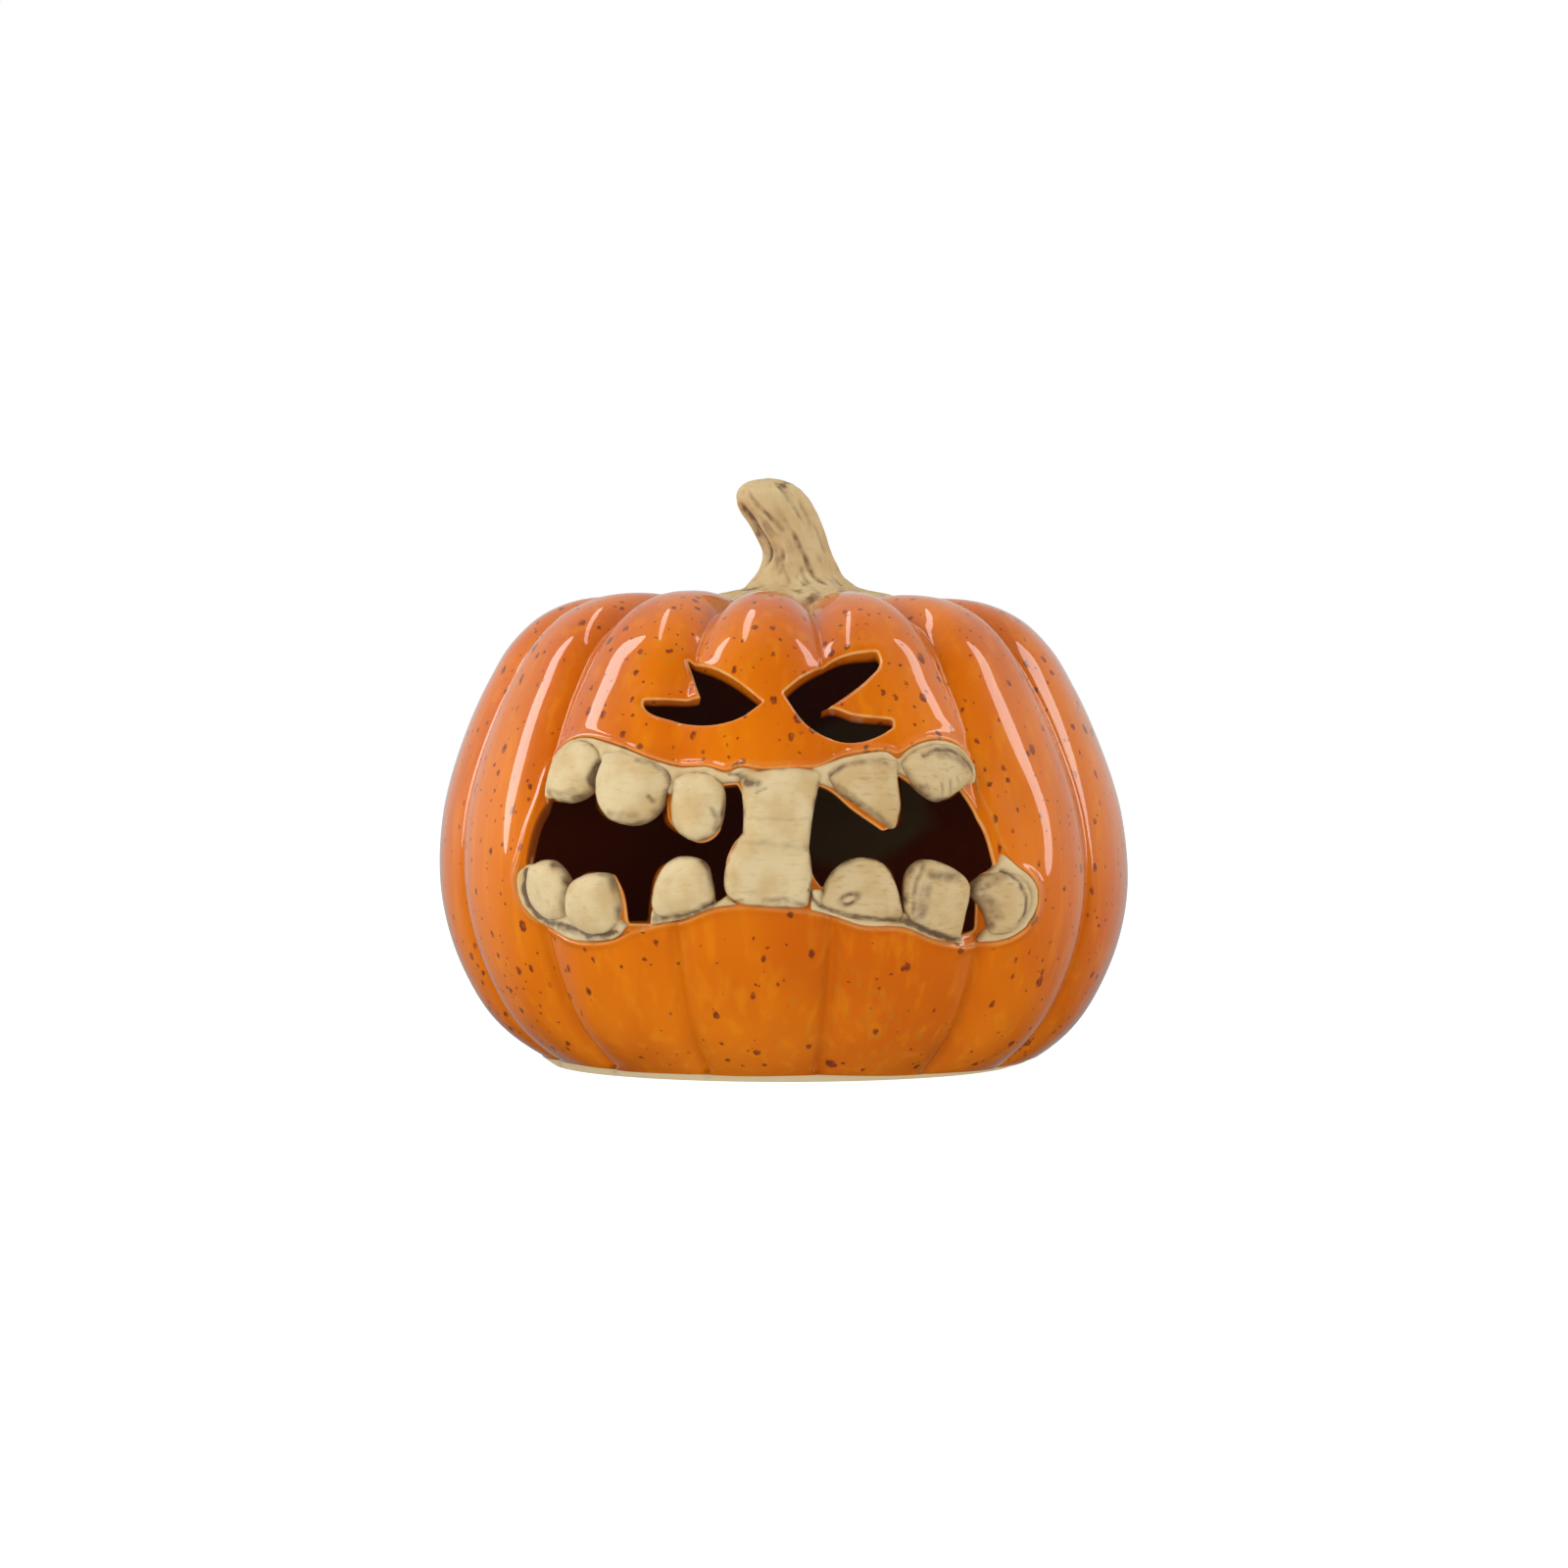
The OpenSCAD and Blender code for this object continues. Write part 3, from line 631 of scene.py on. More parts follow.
def face_field(low, high):
    """Directions to mesh between the face's border and the openings."""
    def field(spacing):
        angles = scatter(low, high, spacing)
        from_cut, _, base = cut_distance(angles)
        from_lip = lip.nearest(base)[0]
        keep = (from_cut > CUT_GAP) & (from_seam(*angles.T) > SEAM_ROWS[-1] + 0.5)
        return angles[keep], from_lip[keep], np.minimum(from_lip, np.abs(from_cut))[keep]

    fine, fine_lip, fine_edge = field(FINE_STEP)
    coarse, _, coarse_edge = field(COARSE_STEP)
    found = [fine[(fine_edge < FINE_REACH) & (fine_lip > LIP_ROWS[-1] + 0.6)],
             coarse[coarse_edge >= COARSE_START]]
    lines = [lip.offset(distance)[::2] for distance in LIP_ROWS]
    el = np.arange(low[1], high[1], SEAM_STEP)
    for k in range(-2, 3):
        for distance in SEAM_ROWS:
            az = FIRST_CREASE + k * 360 / LOBES + distance / DEGREE / np.cos(np.radians(el))
            lines.append(np.stack([az, el], -1)[(az > low[0]) & (az < high[0])])
    found += [line[cut_distance(line)[0] > CUT_GAP] for line in lines]
    for turn in (32, 60, 90):
        distance = CUT_ROUND * (1 - math.cos(math.radians(turn)))
        rings = [cut.offset(distance)[::2] for cut in cuts]
        found += [ring[cut_distance(ring)[0] > distance * 0.93] for ring in rings]
    return np.concatenate(found)


def by_opening(values, start):
    """Values along the openings' edges, one array for each edge. The first edge begins at start."""
    return np.split(values[start:], np.cumsum([len(loop) for loop in cut_loops]))[:-1]


def without_openings(angles, triangles):
    return triangles[outside_all(cuts, angles[triangles].mean(1))]


def build_face(skin, border, border_angles, low, high):
    """The fine mesh round the openings. Returns number, point, normal and shade along each edge."""
    angles, triangles = triangulate([border_angles, *cut_loops], face_field(low, high))
    triangles = without_openings(angles, triangles)
    start = len(border)
    end = start + sum(len(loop) for loop in cut_loops)
    from_cut, spot, base = cut_distance(angles)
    from_cut[start:end] = 0
    points, normals = surface_normals(*angles.T, True)
    fillet = np.clip(1 - from_cut / CUT_ROUND, 0, 1)
    upright = np.sqrt(np.maximum(0, 1 - fillet**2))
    outward = unit(points - [0, 0, CORE_Z])
    points = points - outward * (CUT_ROUND * (1 - upright))[:, None]
    towards = spot - base
    # On the edge itself the way into the opening comes from the edge's own direction
    towards[start:end] = np.concatenate([
        np.cross(out, np.roll(edge, -1, axis=0) - np.roll(edge, 1, axis=0))
        for out, edge in zip(by_opening(outward, start), by_opening(base, start))])
    towards = unit(towards - outward * (towards * outward).sum(1)[:, None])
    normals = unit(normals * upright[:, None] + towards * fillet[:, None])
    az, el = angles.T
    worn_lip = LIP_EDGE * bell(lip.signed(angles, base) - 0.3, 0.4)
    worn_lip *= 1 - 0.6 * smoothstep(32, 35, az) * smoothstep(-3, 0, el)
    broken = np.maximum(bell(from_cut - 0.3, 0.17), worn_lip)
    broken *= 1 - smoothstep(-39, -42, az) * smoothstep(-2, 1, el)
    # Painted shade on the left mouth's rounded edge and wall, which face away from the light
    shade = smoothstep(3.5, 0.8, from_cut) * smoothstep(-38, -42, az)
    added = skin.add(*(values[start:] for values in (points, normals, pooling(az, el), broken, shade)))
    numbers = np.concatenate([border, added])
    skin.cover(numbers[triangles], GLAZED)
    return [by_opening(values, start) for values in (numbers, points, normals, shade)]


def build_inside(skin, low, high):
    """The inner wall, softer than the outside. Returns its lowest row, and its edges' numbers and points."""
    def wall(az, el):
        points = place(az, el, body_radius(az, el, 0.5) - WALL)
        return points, -unit(points - [0, 0, CORE_Z])

    rows = [*np.linspace(INNER_LOW, FACE_LOW, INNER_LOW_ROWS + 1)[:-1], *FACE_ROWS[::4],
            *np.linspace(FACE_HIGH, 88, INNER_CROWN_ROWS + 1)[1:]]
    face_rows = (INNER_LOW_ROWS, INNER_LOW_ROWS + len(FACE_ROWS[::4]) - 1)
    azimuths = column_az(2 * np.arange(COLUMNS // 2))
    grid, border, border_angles = wall_round_face(skin, azimuths, rows, face_rows, FACE_COLUMNS // 2, wall,
                                                  DARK, (0, 3, 2, 1))
    top = skin.add(np.array([[0, 0, CORE_Z + CREST_TOP - WALL]]), np.array([[0, 0, -1.0]]))[0]
    skin.cover(fan(grid[-1][::-1], top), DARK)
    field = scatter(low, high, INNER_STEP)
    angles, triangles = triangulate([border_angles, *cut_loops], field[cut_distance(field)[0] > 2.5])
    triangles = without_openings(angles, triangles)
    start = len(border)
    points = wall(flared(angles[:, 0], border_angles[:, 0].max()), angles[:, 1])[0]
    # Full painted shade at the inner ends of the cut faces, which end on these points
    added = skin.add(points[start:], -(points - [0, 0, CORE_Z])[start:], deep=1.0)
    numbers = np.concatenate([border, added])
    skin.cover(numbers[triangles][:, ::-1], DARK)
    return grid[0], [by_opening(values, start) for values in (numbers, points)]


def build_cuts(skin, outer, inner):
    """The cut faces through the wall."""
    for numbers, points, normals, shade, inner_numbers, inner_points in zip(*outer, *inner):
        rings = [numbers]
        for share in CUT_SHARES:
            between = points + (inner_points - points) * share
            # Painted shade: each ring of the cut face is darker the further it lies into the wall
            rings.append(skin.add(between, normals, deep=np.maximum(share, shade)))
        rings.append(inner_numbers)
        for near, far in zip(rings, rings[1:]):
            skin.cover(ring_quads(near, far), GLAZED)


def build_foot(skin, lowest, inner_lowest):
    """The unglazed foot, the underside, the edge of the base opening and the floor inside."""
    azimuths = column_az(np.arange(COLUMNS))
    a = np.radians(azimuths)
    way = np.stack([np.sin(a), -np.cos(a), np.zeros(COLUMNS)], -1)
    up = np.array([0, 0, 1.0])
    side = skin.points[0]
    line = glaze_line(azimuths)
    foot_side = FOOT_R + 1.2
    line_r = foot_side + (np.linalg.norm(side[:, :2], axis=1) - foot_side) * line / side[:, 2]
    above = lowest
    # (radius, height, the normal's parts outward and up, slot)
    for radius, height, out, lift, slot in (
            (line_r + 0.35, line + 0.35, 0.5, -0.87, GLAZED), (line_r, line, 0.5, -0.87, BARE),
            (FOOT_R + 0.5, 0.5, 0.6, -0.8, BARE), (FOOT_R - 0.3, 0, 0.2, -1, BARE),
            (BASE_HOLE_R + FOOT_EDGE, 0, -0.2, -1, BARE), (BASE_HOLE_R, FOOT_EDGE, -1, -0.3, BARE),
            (BASE_HOLE_R, WALL - FOOT_EDGE, -1, 0.3, BARE), (BASE_HOLE_R + FOOT_EDGE, WALL, -0.3, 1, DARK)):
        radius, height = (np.broadcast_to(value, COLUMNS)[:, None] for value in (radius, height))
        ring = skin.add(way * radius + up * height, unit(way * out + up * lift))
        skin.cover(ring_quads(ring, above), slot)
        above = ring
    even, odd = above[::2], above[1::2]
    after = np.roll(inner_lowest, -1)
    for corners in ((odd, even, inner_lowest), (odd, inner_lowest, after), (np.roll(even, -1), odd, after)):
        skin.cover(np.stack(corners, -1), DARK)


def build_shell(glaze, bare_clay, dark_inside):
    skin = Skin()
    lowest, border, border_angles = build_outside(skin)
    low, high = border_angles.min(0) + 0.5, border_angles.max(0) - 0.5
    outer = build_face(skin, border, border_angles, low, high)
    inner_lowest, inner = build_inside(skin, low, high)
    build_cuts(skin, outer, inner)
    build_foot(skin, lowest, inner_lowest)
    return skin.piece("glazed_shell", [glaze, bare_clay, dark_inside])


# ---------------------------------------------------------------- clay teeth, gums and stem
# Lines pressed in the clay and filled with brown stain: (width, depth, stain, purple, directions)
PRESSED = [
    (0.9, 1.2, 1.3, 0.2, [(-30.7, 15.4), (-31.2, 14), (-31.5, 12.5), (-31.2, 11)]),
    (0.7, 0.3, 0.5, 0.2, [(-24, 15.7), (-21.5, 15.2), (-19.5, 14.2), (-18.7, 12.5)]),
    (0.6, 0.3, 0.7, 0.0, [(-21.2, 10), (-20.5, 9.2)]),
    (0.8, 0.0, 0.45, 0.0, [(-41, 10.8), (-37, 10.3), (-34, 10.8)]),
    (1.3, 0.0, 0.35, 0.0, [(-27.3, 7.1), (-25.3, 6.9), (-22.9, 7.1)]),
    (0.8, 0.2, 0.55, 0.0, [(-10.8, 8), (-10, 6.4), (-10.3, 5)]),
    (1.2, 0.4, 1.0, 0.8, [(-6.6, 12.8), (-5.6, 12.2), (-4.2, 12)]),
    (0.6, 0.3, 0.8, 0.6, [(-8.6, 13.6), (-7.2, 13.5), (-6.4, 12.7)]),
    (0.4, 0.2, 0.6, 0.2, [(-4.2, 10.5), (-2.8, 11.2)]),
    (0.7, 0.0, 0.25, 0.0, [(-5, 6.6), (0.5, 6.4), (4, 6.8)]),
    (0.9, 0.15, 0.3, 0.0, [(-6, 3), (-2.9, 3), (0.4, 2.6), (4, 2.2)]),
    (1.0, 0.6, 0.5, 0.1, [(-35, -3.8), (-36, -5.8), (-36.3, -8.3)]),
    (0.6, 0.6, 1.3, 0.5, [(-45.5, -1.5), (-46, -5), (-45.3, -7.3), (-43.8, -9.1), (-41.1, -10),
                          (-37.3, -9.8), (-34.7, -10.4), (-32.1, -11.5), (-29, -11.2), (-26.8, -10.7)]),
    (1.3, 0.3, 0.6, 0.9, [(-42.5, -9.9), (-38, -10.2), (-35, -10.6), (-32, -11.8), (-29, -11.6)]),
    (1.1, 0.3, 0.7, 0.5, [(-20.5, -8.8), (-18, -8.7), (-15.5, -8.2), (-13, -7.2), (-10.7, -5.9)]),
    (0.5, 0.1, 0.5, 0.2, [(-8.9, -0.8), (-8.6, -2)]),
    (0.5, 0.2, 0.5, 0.2, [(-8.5, -5), (-7.5, -5.6), (-6, -5.4)]),
    (0.9, 0.2, 0.6, 0.6, [(7.6, 14), (9.6, 15.2), (12.6, 15.5), (16, 15.2)]),
    (0.6, 0.1, 0.5, 0.1, [(8.5, 12), (12, 9), (16, 5.8)]),
    (0.7, 0.6, 0.9, 0.6, [(22.4, 16.2), (24.9, 17.2), (27.2, 17.4), (29.5, 16.7), (31, 15.2), (32, 13.8)]),
    (1.4, 0.0, 0.5, 0.7, [(25, 16.4), (28, 16.3), (30.5, 14.6)]),
    (0.5, 0.5, 0.6, 0.2, [(22.2, 11.6), (23, 10)]),
    (0.5, 0.5, 0.5, 0.1, [(24.6, 11.7), (24.8, 9.9)]),
    (0.5, 0.5, 0.5, 0.1, [(26.3, 12.4), (26.2, 10.2)]),
    (0.5, 0.5, 0.4, 0.1, [(27.7, 12.9), (28, 11.2)]),
    (0.8, 0.4, 0.5, 0.0, [(-3, -5.6), (0, -5.3), (3.4, -6.4)]),
    (0.6, 0.4, 0.9, 0.2, [(3.8, -4.1), (4.4, -5.5), (5.3, -6.5), (7.4, -7.3), (9.7, -7.8), (13, -8.2),
                          (16.5, -8.7), (18.4, -8.9)]),
    (0.9, 0.4, 0.8, 0.2, [(15.5, -8.4), (17, -8.4), (18.6, -8.6)]),
    (0.6, 0.5, 0.6, 0.3, [(21, -0.2), (19.9, -2.4), (19.4, -4.7), (19.5, -7.5)]),
    (1.6, 0.0, 0.6, 0.6, [(21.2, -3.6), (20.8, -6.4), (20.3, -8.3)]),
    (1.4, 0.0, 0.6, 0.0, [(22, -1.8), (26.2, -2.2)]),
    (0.8, 0.8, 1.4, 0.4, [(19, -8.9), (22.7, -10.5), (24.4, -11), (26.2, -11.7), (28.4, -12)]),
    (0.7, 0.3, 0.5, 0.0, [(29, -4.3), (28.6, -7.7), (28.3, -11)]),
    (1.0, 0.3, 0.6, 0.0, [(30.6, -4.4), (33.8, -3.2), (36.6, -1.8)]),
    (0.7, 0.6, 0.85, 0.3, [(36, -1.6), (37.9, -3.1), (39.2, -5.4), (39.4, -7.6), (38.6, -9.2)]),
    (1.5, 0.0, 0.5, 0.0, [(31.8, -4.9), (33.6, -6.3), (35, -8.2)]),
]
BEAD_AT, BEAD_SIZE, BEAD_TURN, BEAD_HEIGHT = (9.8, -5.4), (0.85, 0.42), 25, 0.9
BEAD_RING, BEAD_STAIN = (1.2, 0.68), 3.5
# Drops of clay on the centre teeth: (direction, size in degrees, height)
DROPS = [((-6.2, 14.3), (1.0, 1.0), 1.6), ((-7.3, -5.4), (1.3, 0.6), 0.9)]
# How much wider than its line the stain is
WASH = 1.25
EDGE_STAIN = 0.75
CLAY_GRAIN = 0.75
CLAY_ROOT = 0.3
# The share of a tooth's height that its rounded edge takes up, before its crown bulges on
CROWN_SHARE = 0.7
GUM_HEIGHT = 1.35
# How far the teeth reach over the edges of the mouth, apart from those with glaze showing beside them
OVERHANG = 0.6
ORANGE_EDGED = ["upper_left_tooth_3", "upper_right_tooth_1"]
CLAY_BELOW = 2.6


def resampled(angles, spacing=0.35):
    """Points on the body along a line of directions, a spacing in mm apart."""
    angles = np.array(angles, float)
    lengths = np.linalg.norm(np.diff(angles, axis=0), axis=1) * DEGREE
    steps = np.maximum(1, np.ceil(lengths / spacing)).astype(int)
    line = [a + (b - a) * (np.arange(n) / n)[:, None] for a, b, n in zip(angles, angles[1:], steps)]
    return on_body(np.concatenate([*line, angles[-1:]]))


pressed_lines = [(*marks, resampled(angles)) for *marks, angles in PRESSED]


def pressed_at(base):
    """Depth, stain and purple of the pressed lines at points on the body."""
    pressed = np.zeros((3, len(base)))
    for width, depth, stain, purple, line in pressed_lines:
        near = np.linalg.norm(base - line.mean(0), axis=1) < 45
        if not near.any():
            continue
        distance = np.linalg.norm(base[near][:, None] - line[None], axis=2).min(1)
        fade = bell(distance, WASH * width)
        marks = np.stack([0.7 * depth * bell(distance, width), stain * fade, purple * fade])
        pressed[:, near] = np.maximum(pressed[:, near], marks)
    return pressed


def wobble(points, size, seed=0.0):
    """Smooth three-dimensional noise between about -1 and 1."""
    return np.array([noise.noise(Vector(p) / size + Vector((seed, 2 * seed, 3 * seed))) for p in points])


def mesh_region(outline, openings, rings, wanted):
    """Directions and triangles that fill an outline, leaving out what lies in the openings."""
    edges = [outline, *openings]
    field = [scatter(outline.angles.min(0), outline.angles.max(0), CLAY_GRAIN)]
    for ring in rings:
        field += [edge.offset(-ring if edge is outline else ring)[::2] for edge in edges]
    field = np.concatenate(field)
    field = field[wanted(field)]
    base = on_body(field)
    gap = np.min([edge.nearest(base)[0] for edge in edges], axis=0)
    loops = [edge.angles[::2] for edge in edges]
    points = np.concatenate([*loops, field[gap > min(rings) * 0.9]])
    return triangulate_part(points, ring_edges(loops), wanted)


def boundary_edges(triangles):
    edges = {(t[i], t[(i + 1) % 3]) for t in triangles.tolist() for i in range(3)}
    return [(a, b) for a, b in edges if (b, a) not in edges]


def build_clay(name, outline, openings, rings, height, material):
    """A closed piece of clay on the body: height(angles, base) gives its top."""
    def wanted(points):
        return outline.inside(points) & outside_all(openings, points)

    angles, triangles = mesh_region(outline, openings, rings, wanted)
    rise, stain, purple = height(angles, on_body(angles))
    rim_edges = boundary_edges(triangles)
    rim = sorted({a for edge in rim_edges for a in edge})
    order = {a: i for i, a in enumerate(rim)}
    below = {a: len(angles) + i for a, i in order.items()}

    links = [(order[a], order[b]) for a, b in rim_edges]
    under, under_faces = triangulate_part(angles[rim], links, wanted)
    match = {tuple(np.round(p, 5)): below[a] for p, a in zip(angles[rim], rim)}
    numbers = [match[tuple(np.round(p, 5))] for p in under]
    faces = triangles.tolist()
    faces += [(numbers[c], numbers[b], numbers[a]) for a, b, c in under_faces]
    faces += [(below[a], below[b], b, a) for a, b in rim_edges]
    points = np.concatenate([on_body(angles, rise), on_body(angles[rim], -CLAY_BELOW)])
    unmarked = np.zeros(len(rim))
    layers = {"stain": np.append(stain, unmarked), "purple": np.append(purple, unmarked)}
    return make_piece(name, points, faces, [material], layers)


def tooth_height(name, outline, height, edge, lean_up, lean_right):
    """The height, stain and purple of a tooth, as a function of its directions and base points."""
    def at(angles, base):
        inward = outline.nearest(base)[0]
        inward[~outline.inside(angles)] = 0
        side = rounded(inward / edge)
        crown = CROWN_SHARE * side + (1 - CROWN_SHARE) * rounded(inward / inward.max())
        right, up = ((angles - angles.mean(0)) * DEGREE).T
        depth, stain, purple = pressed_at(base)
        rise = height * crown + (lean_up * up + lean_right * right) * side
        rise += (0.25 * wobble(base, 5.0) + 0.12 * wobble(base, 2.2, 3)) * rounded(inward / 2)
        rise -= np.minimum(depth, 0.8 * rise)
        worn = (0.55 + 1.3 * wobble(base, 4.0, 11)).clip(0, 1)
        stain = np.maximum(stain, EDGE_STAIN * bell(inward, 0.9) * worn)
        if name == "lower_right_tooth_1":
            bead = bump(*angles.T, BEAD_AT, BEAD_SIZE, BEAD_TURN)
            ring = (bump(*angles.T, BEAD_AT, BEAD_RING, BEAD_TURN) - bead).clip(0)
            rise += BEAD_HEIGHT * bead - 0.5 * ring
            stain = np.maximum(stain, BEAD_STAIN * ring) * (1 - bead) - 0.5 * bead**2
        for spot, size, drop in DROPS:
            rise += drop * bump(*angles.T, spot, size) * rounded(inward)
        return CLAY_ROOT + rise.clip(0), stain, purple
    return at


def gum_height(outline, teeth_outlines):
    """The height, stain and purple of a gum band, as a function of its directions and base points."""
    def at(angles, base):
        to_edge = outline.nearest(base)[0]
        to_edge[~outline.inside(angles)] = 0
        to_hole = np.min([mouth.nearest(base)[0] for mouth in mouths], axis=0)
        to_tooth = np.min([np.where(tooth.inside(angles), 0, tooth.nearest(base)[0])
                           for tooth in teeth_outlines], axis=0)
        crevice = bell(to_tooth, 0.75)
        depth, stain, purple = pressed_at(base)
        rise = GUM_HEIGHT * rounded(np.minimum(to_edge, to_hole) / 1.4) - 0.7 * crevice - depth
        rise += 0.3 * wobble(base, 3.0, 5) + 0.15 * wobble(base, 1.4, 7)
        stain = np.maximum(stain, (0.15 + 0.3 * wobble(base, 6.0, 9)).clip(0) * crevice)
        return rise.clip(-0.6), stain, purple
    return at


# (height, centre, radius) up the stem
STEM = [(148, 5, 25), (152, 5, 29), (155.5, 5.6, 28), (157.6, 6.2, 23.5), (159.4, 5.6, 18.6),
        (162.5, 5.1, 15), (166, 5, 12.8), (170, 4.6, 11.5), (174, 3.4, 11.3), (178, 1.9, 11.8),
        (182, 0, 12.2), (186, -2.3, 12.5), (190, -4, 11.8), (193, -5, 9.8), (195.2, -5.4, 6),
        (196.2, -5.4, 0.6)]
STEM_DEPTH = 0.86
STEM_SIDES, STEM_ROWS = 160, 140
STREAK_LENGTH = 0.13
# Furrows of the stem: (width, depth, stain, purple, [(angle from the front, height)])
FURROWS = [
    (1.3, 1.6, 1.0, 0.7, [(-74, 188), (-66, 182), (-58, 176), (-56, 171), (-66, 167)]),
    (0.9, 1.0, 0.7, 0.1, [(-42, 192), (-30, 186), (-18, 181), (-8, 177)]),
    (0.9, 1.1, 0.8, 0.1, [(2, 178), (8, 173), (14, 167), (20, 162), (30, 159)]),
    (0.8, 0.8, 0.7, 0.1, [(2, 167), (6, 162), (12, 159.5)]),
    (1.0, 0.5, 0.35, 0.3, [(52, 182), (56, 175), (62, 170)]),
    (0.8, 0.4, 0.3, 0.1, [(-22, 172), (-24, 166), (-22, 161)]),
    (1.1, 1.1, 0.7, 0.2, [(100, 190), (95, 180), (100, 170), (112, 162)]),
    (1.2, 1.3, 0.8, 0.4, [(150, 193), (146, 184), (152, 174), (160, 163)]),
    (1.1, 1.0, 0.7, 0.2, [(-170, 188), (-166, 178), (-158, 168), (-150, 161)]),
    (1.2, 1.2, 0.8, 0.3, [(-124, 191), (-122, 182), (-112, 172), (-106, 163)]),
]


def stem_points(centre, radius, angle, height):
    turn = np.radians(angle)
    return np.stack([centre + radius * np.sin(turn), -STEM_DEPTH * radius * np.cos(turn), height], -1)


def furrows_at(points, heights, centres, radii):
    """Depth, stain and purple of the furrows at points on the stem."""
    marked = np.zeros((3, len(points)))
    for width, depth, stain, purple, line in FURROWS:
        knots = np.arange(len(line))
        along = np.linspace(0, knots[-1], 60)
        angle, height = (np.interp(along, knots, column) for column in zip(*line))
        centre, radius = (np.interp(height, heights, column) for column in (centres, radii))
        track = stem_points(centre, radius, angle, height)
        distance = np.linalg.norm(points[:, None] - track[None], axis=2)
        from_end = np.minimum(along, knots[-1] - along) / 0.5
        fade = bell(distance.min(1), width) * np.clip(0.25 + from_end[distance.argmin(1)], 0, 1)
        marked = np.maximum(marked, np.outer((depth, stain, purple), fade))
    return marked


def build_stem(clay):
    knots = np.arange(len(STEM))
    fine = np.linspace(0, knots[-1], STEM_ROWS)
    heights, centres, radii = (smooth_lookup(fine, np.stack([knots, column], -1)) for column in zip(*STEM))
    radii = np.maximum(radii, 0.3)
    height, centre = np.repeat(heights, STEM_SIDES), np.repeat(centres, STEM_SIDES)
    az = np.tile(np.arange(STEM_SIDES) * 360 / STEM_SIDES, STEM_ROWS)
    turn = np.radians(az)
    ridge = 1 + 0.045 * np.cos(7 * turn + 0.05 * height + 1) + 0.02 * np.cos(11 * turn - 0.09 * height)
    spread = 1 + 0.2 * smoothstep(159.5, 156, height) * crease(az)
    points = stem_points(centre, np.repeat(radii, STEM_SIDES) * ridge * spread, az, height)
    depth, stain, purple = furrows_at(points, heights, centres, radii)

    grain = (points - np.stack([centre, 0 * centre, 0 * centre], -1)) * [1, 1, STREAK_LENGTH]
    streaks = 0.55 * smoothstep(0.02, 0.4, -wobble(grain, 3.0, 4))
    streaks += 0.2 * smoothstep(0.05, 0.4, -wobble(grain, 1.5, 6))
    stain = np.maximum(stain, streaks * (0.7 + 1.1 * wobble(points, 9.0, 8)))
    inward = np.stack([centre - points[:, 0], -points[:, 1], 0 * centre], -1)
    sunk = np.minimum(depth + streaks - 0.45 * wobble(points, 7.0, 2), 0.5 * np.linalg.norm(inward, axis=1))
    points += unit(inward) * sunk[:, None]

    rows = np.arange(len(points)).reshape(-1, STEM_SIDES)
    bottom, top = len(points), len(points) + 1
    points = np.concatenate([points, [[centres[0], 0, heights[0]], [centres[-1], 0, heights[-1] + 0.1]]])
    faces = [face for first, second in zip(rows, rows[1:]) for face in ring_quads(first, second)]
    faces += [*fan(rows[0][::-1], bottom), *fan(rows[-1], top)]
    return make_piece("clay_stem", points, faces, [clay],
                      {"stain": np.append(stain, [0, 0]), "purple": np.append(purple, [0, 0])})


# ---------------------------------------------------------------- materials
class Nodes:
    """A tree of shader nodes."""

    def __init__(self, tree):
        self.tree = tree

    def add(self, kind, inputs=None, **settings):
        node = self.tree.nodes.new(kind)
        for key, value in settings.items():
            setattr(node, key, value)
        for key, value in (inputs or {}).items():
            self.feed(node.inputs[key], value)
        return node

    def feed(self, socket, value):
        if isinstance(value, bpy.types.NodeSocket):
            self.tree.links.new(value, socket)
        else:
            socket.default_value = value

    def ranged(self, value, low, high, start, end, shape="LINEAR"):
        """A value's place between two limits, clamped and carried over to two others."""
        return self.add("ShaderNodeMapRange", {"Value": value, "From Min": low, "From Max": high,
                                               "To Min": start, "To Max": end},
                        interpolation_type=shape).outputs["Result"]


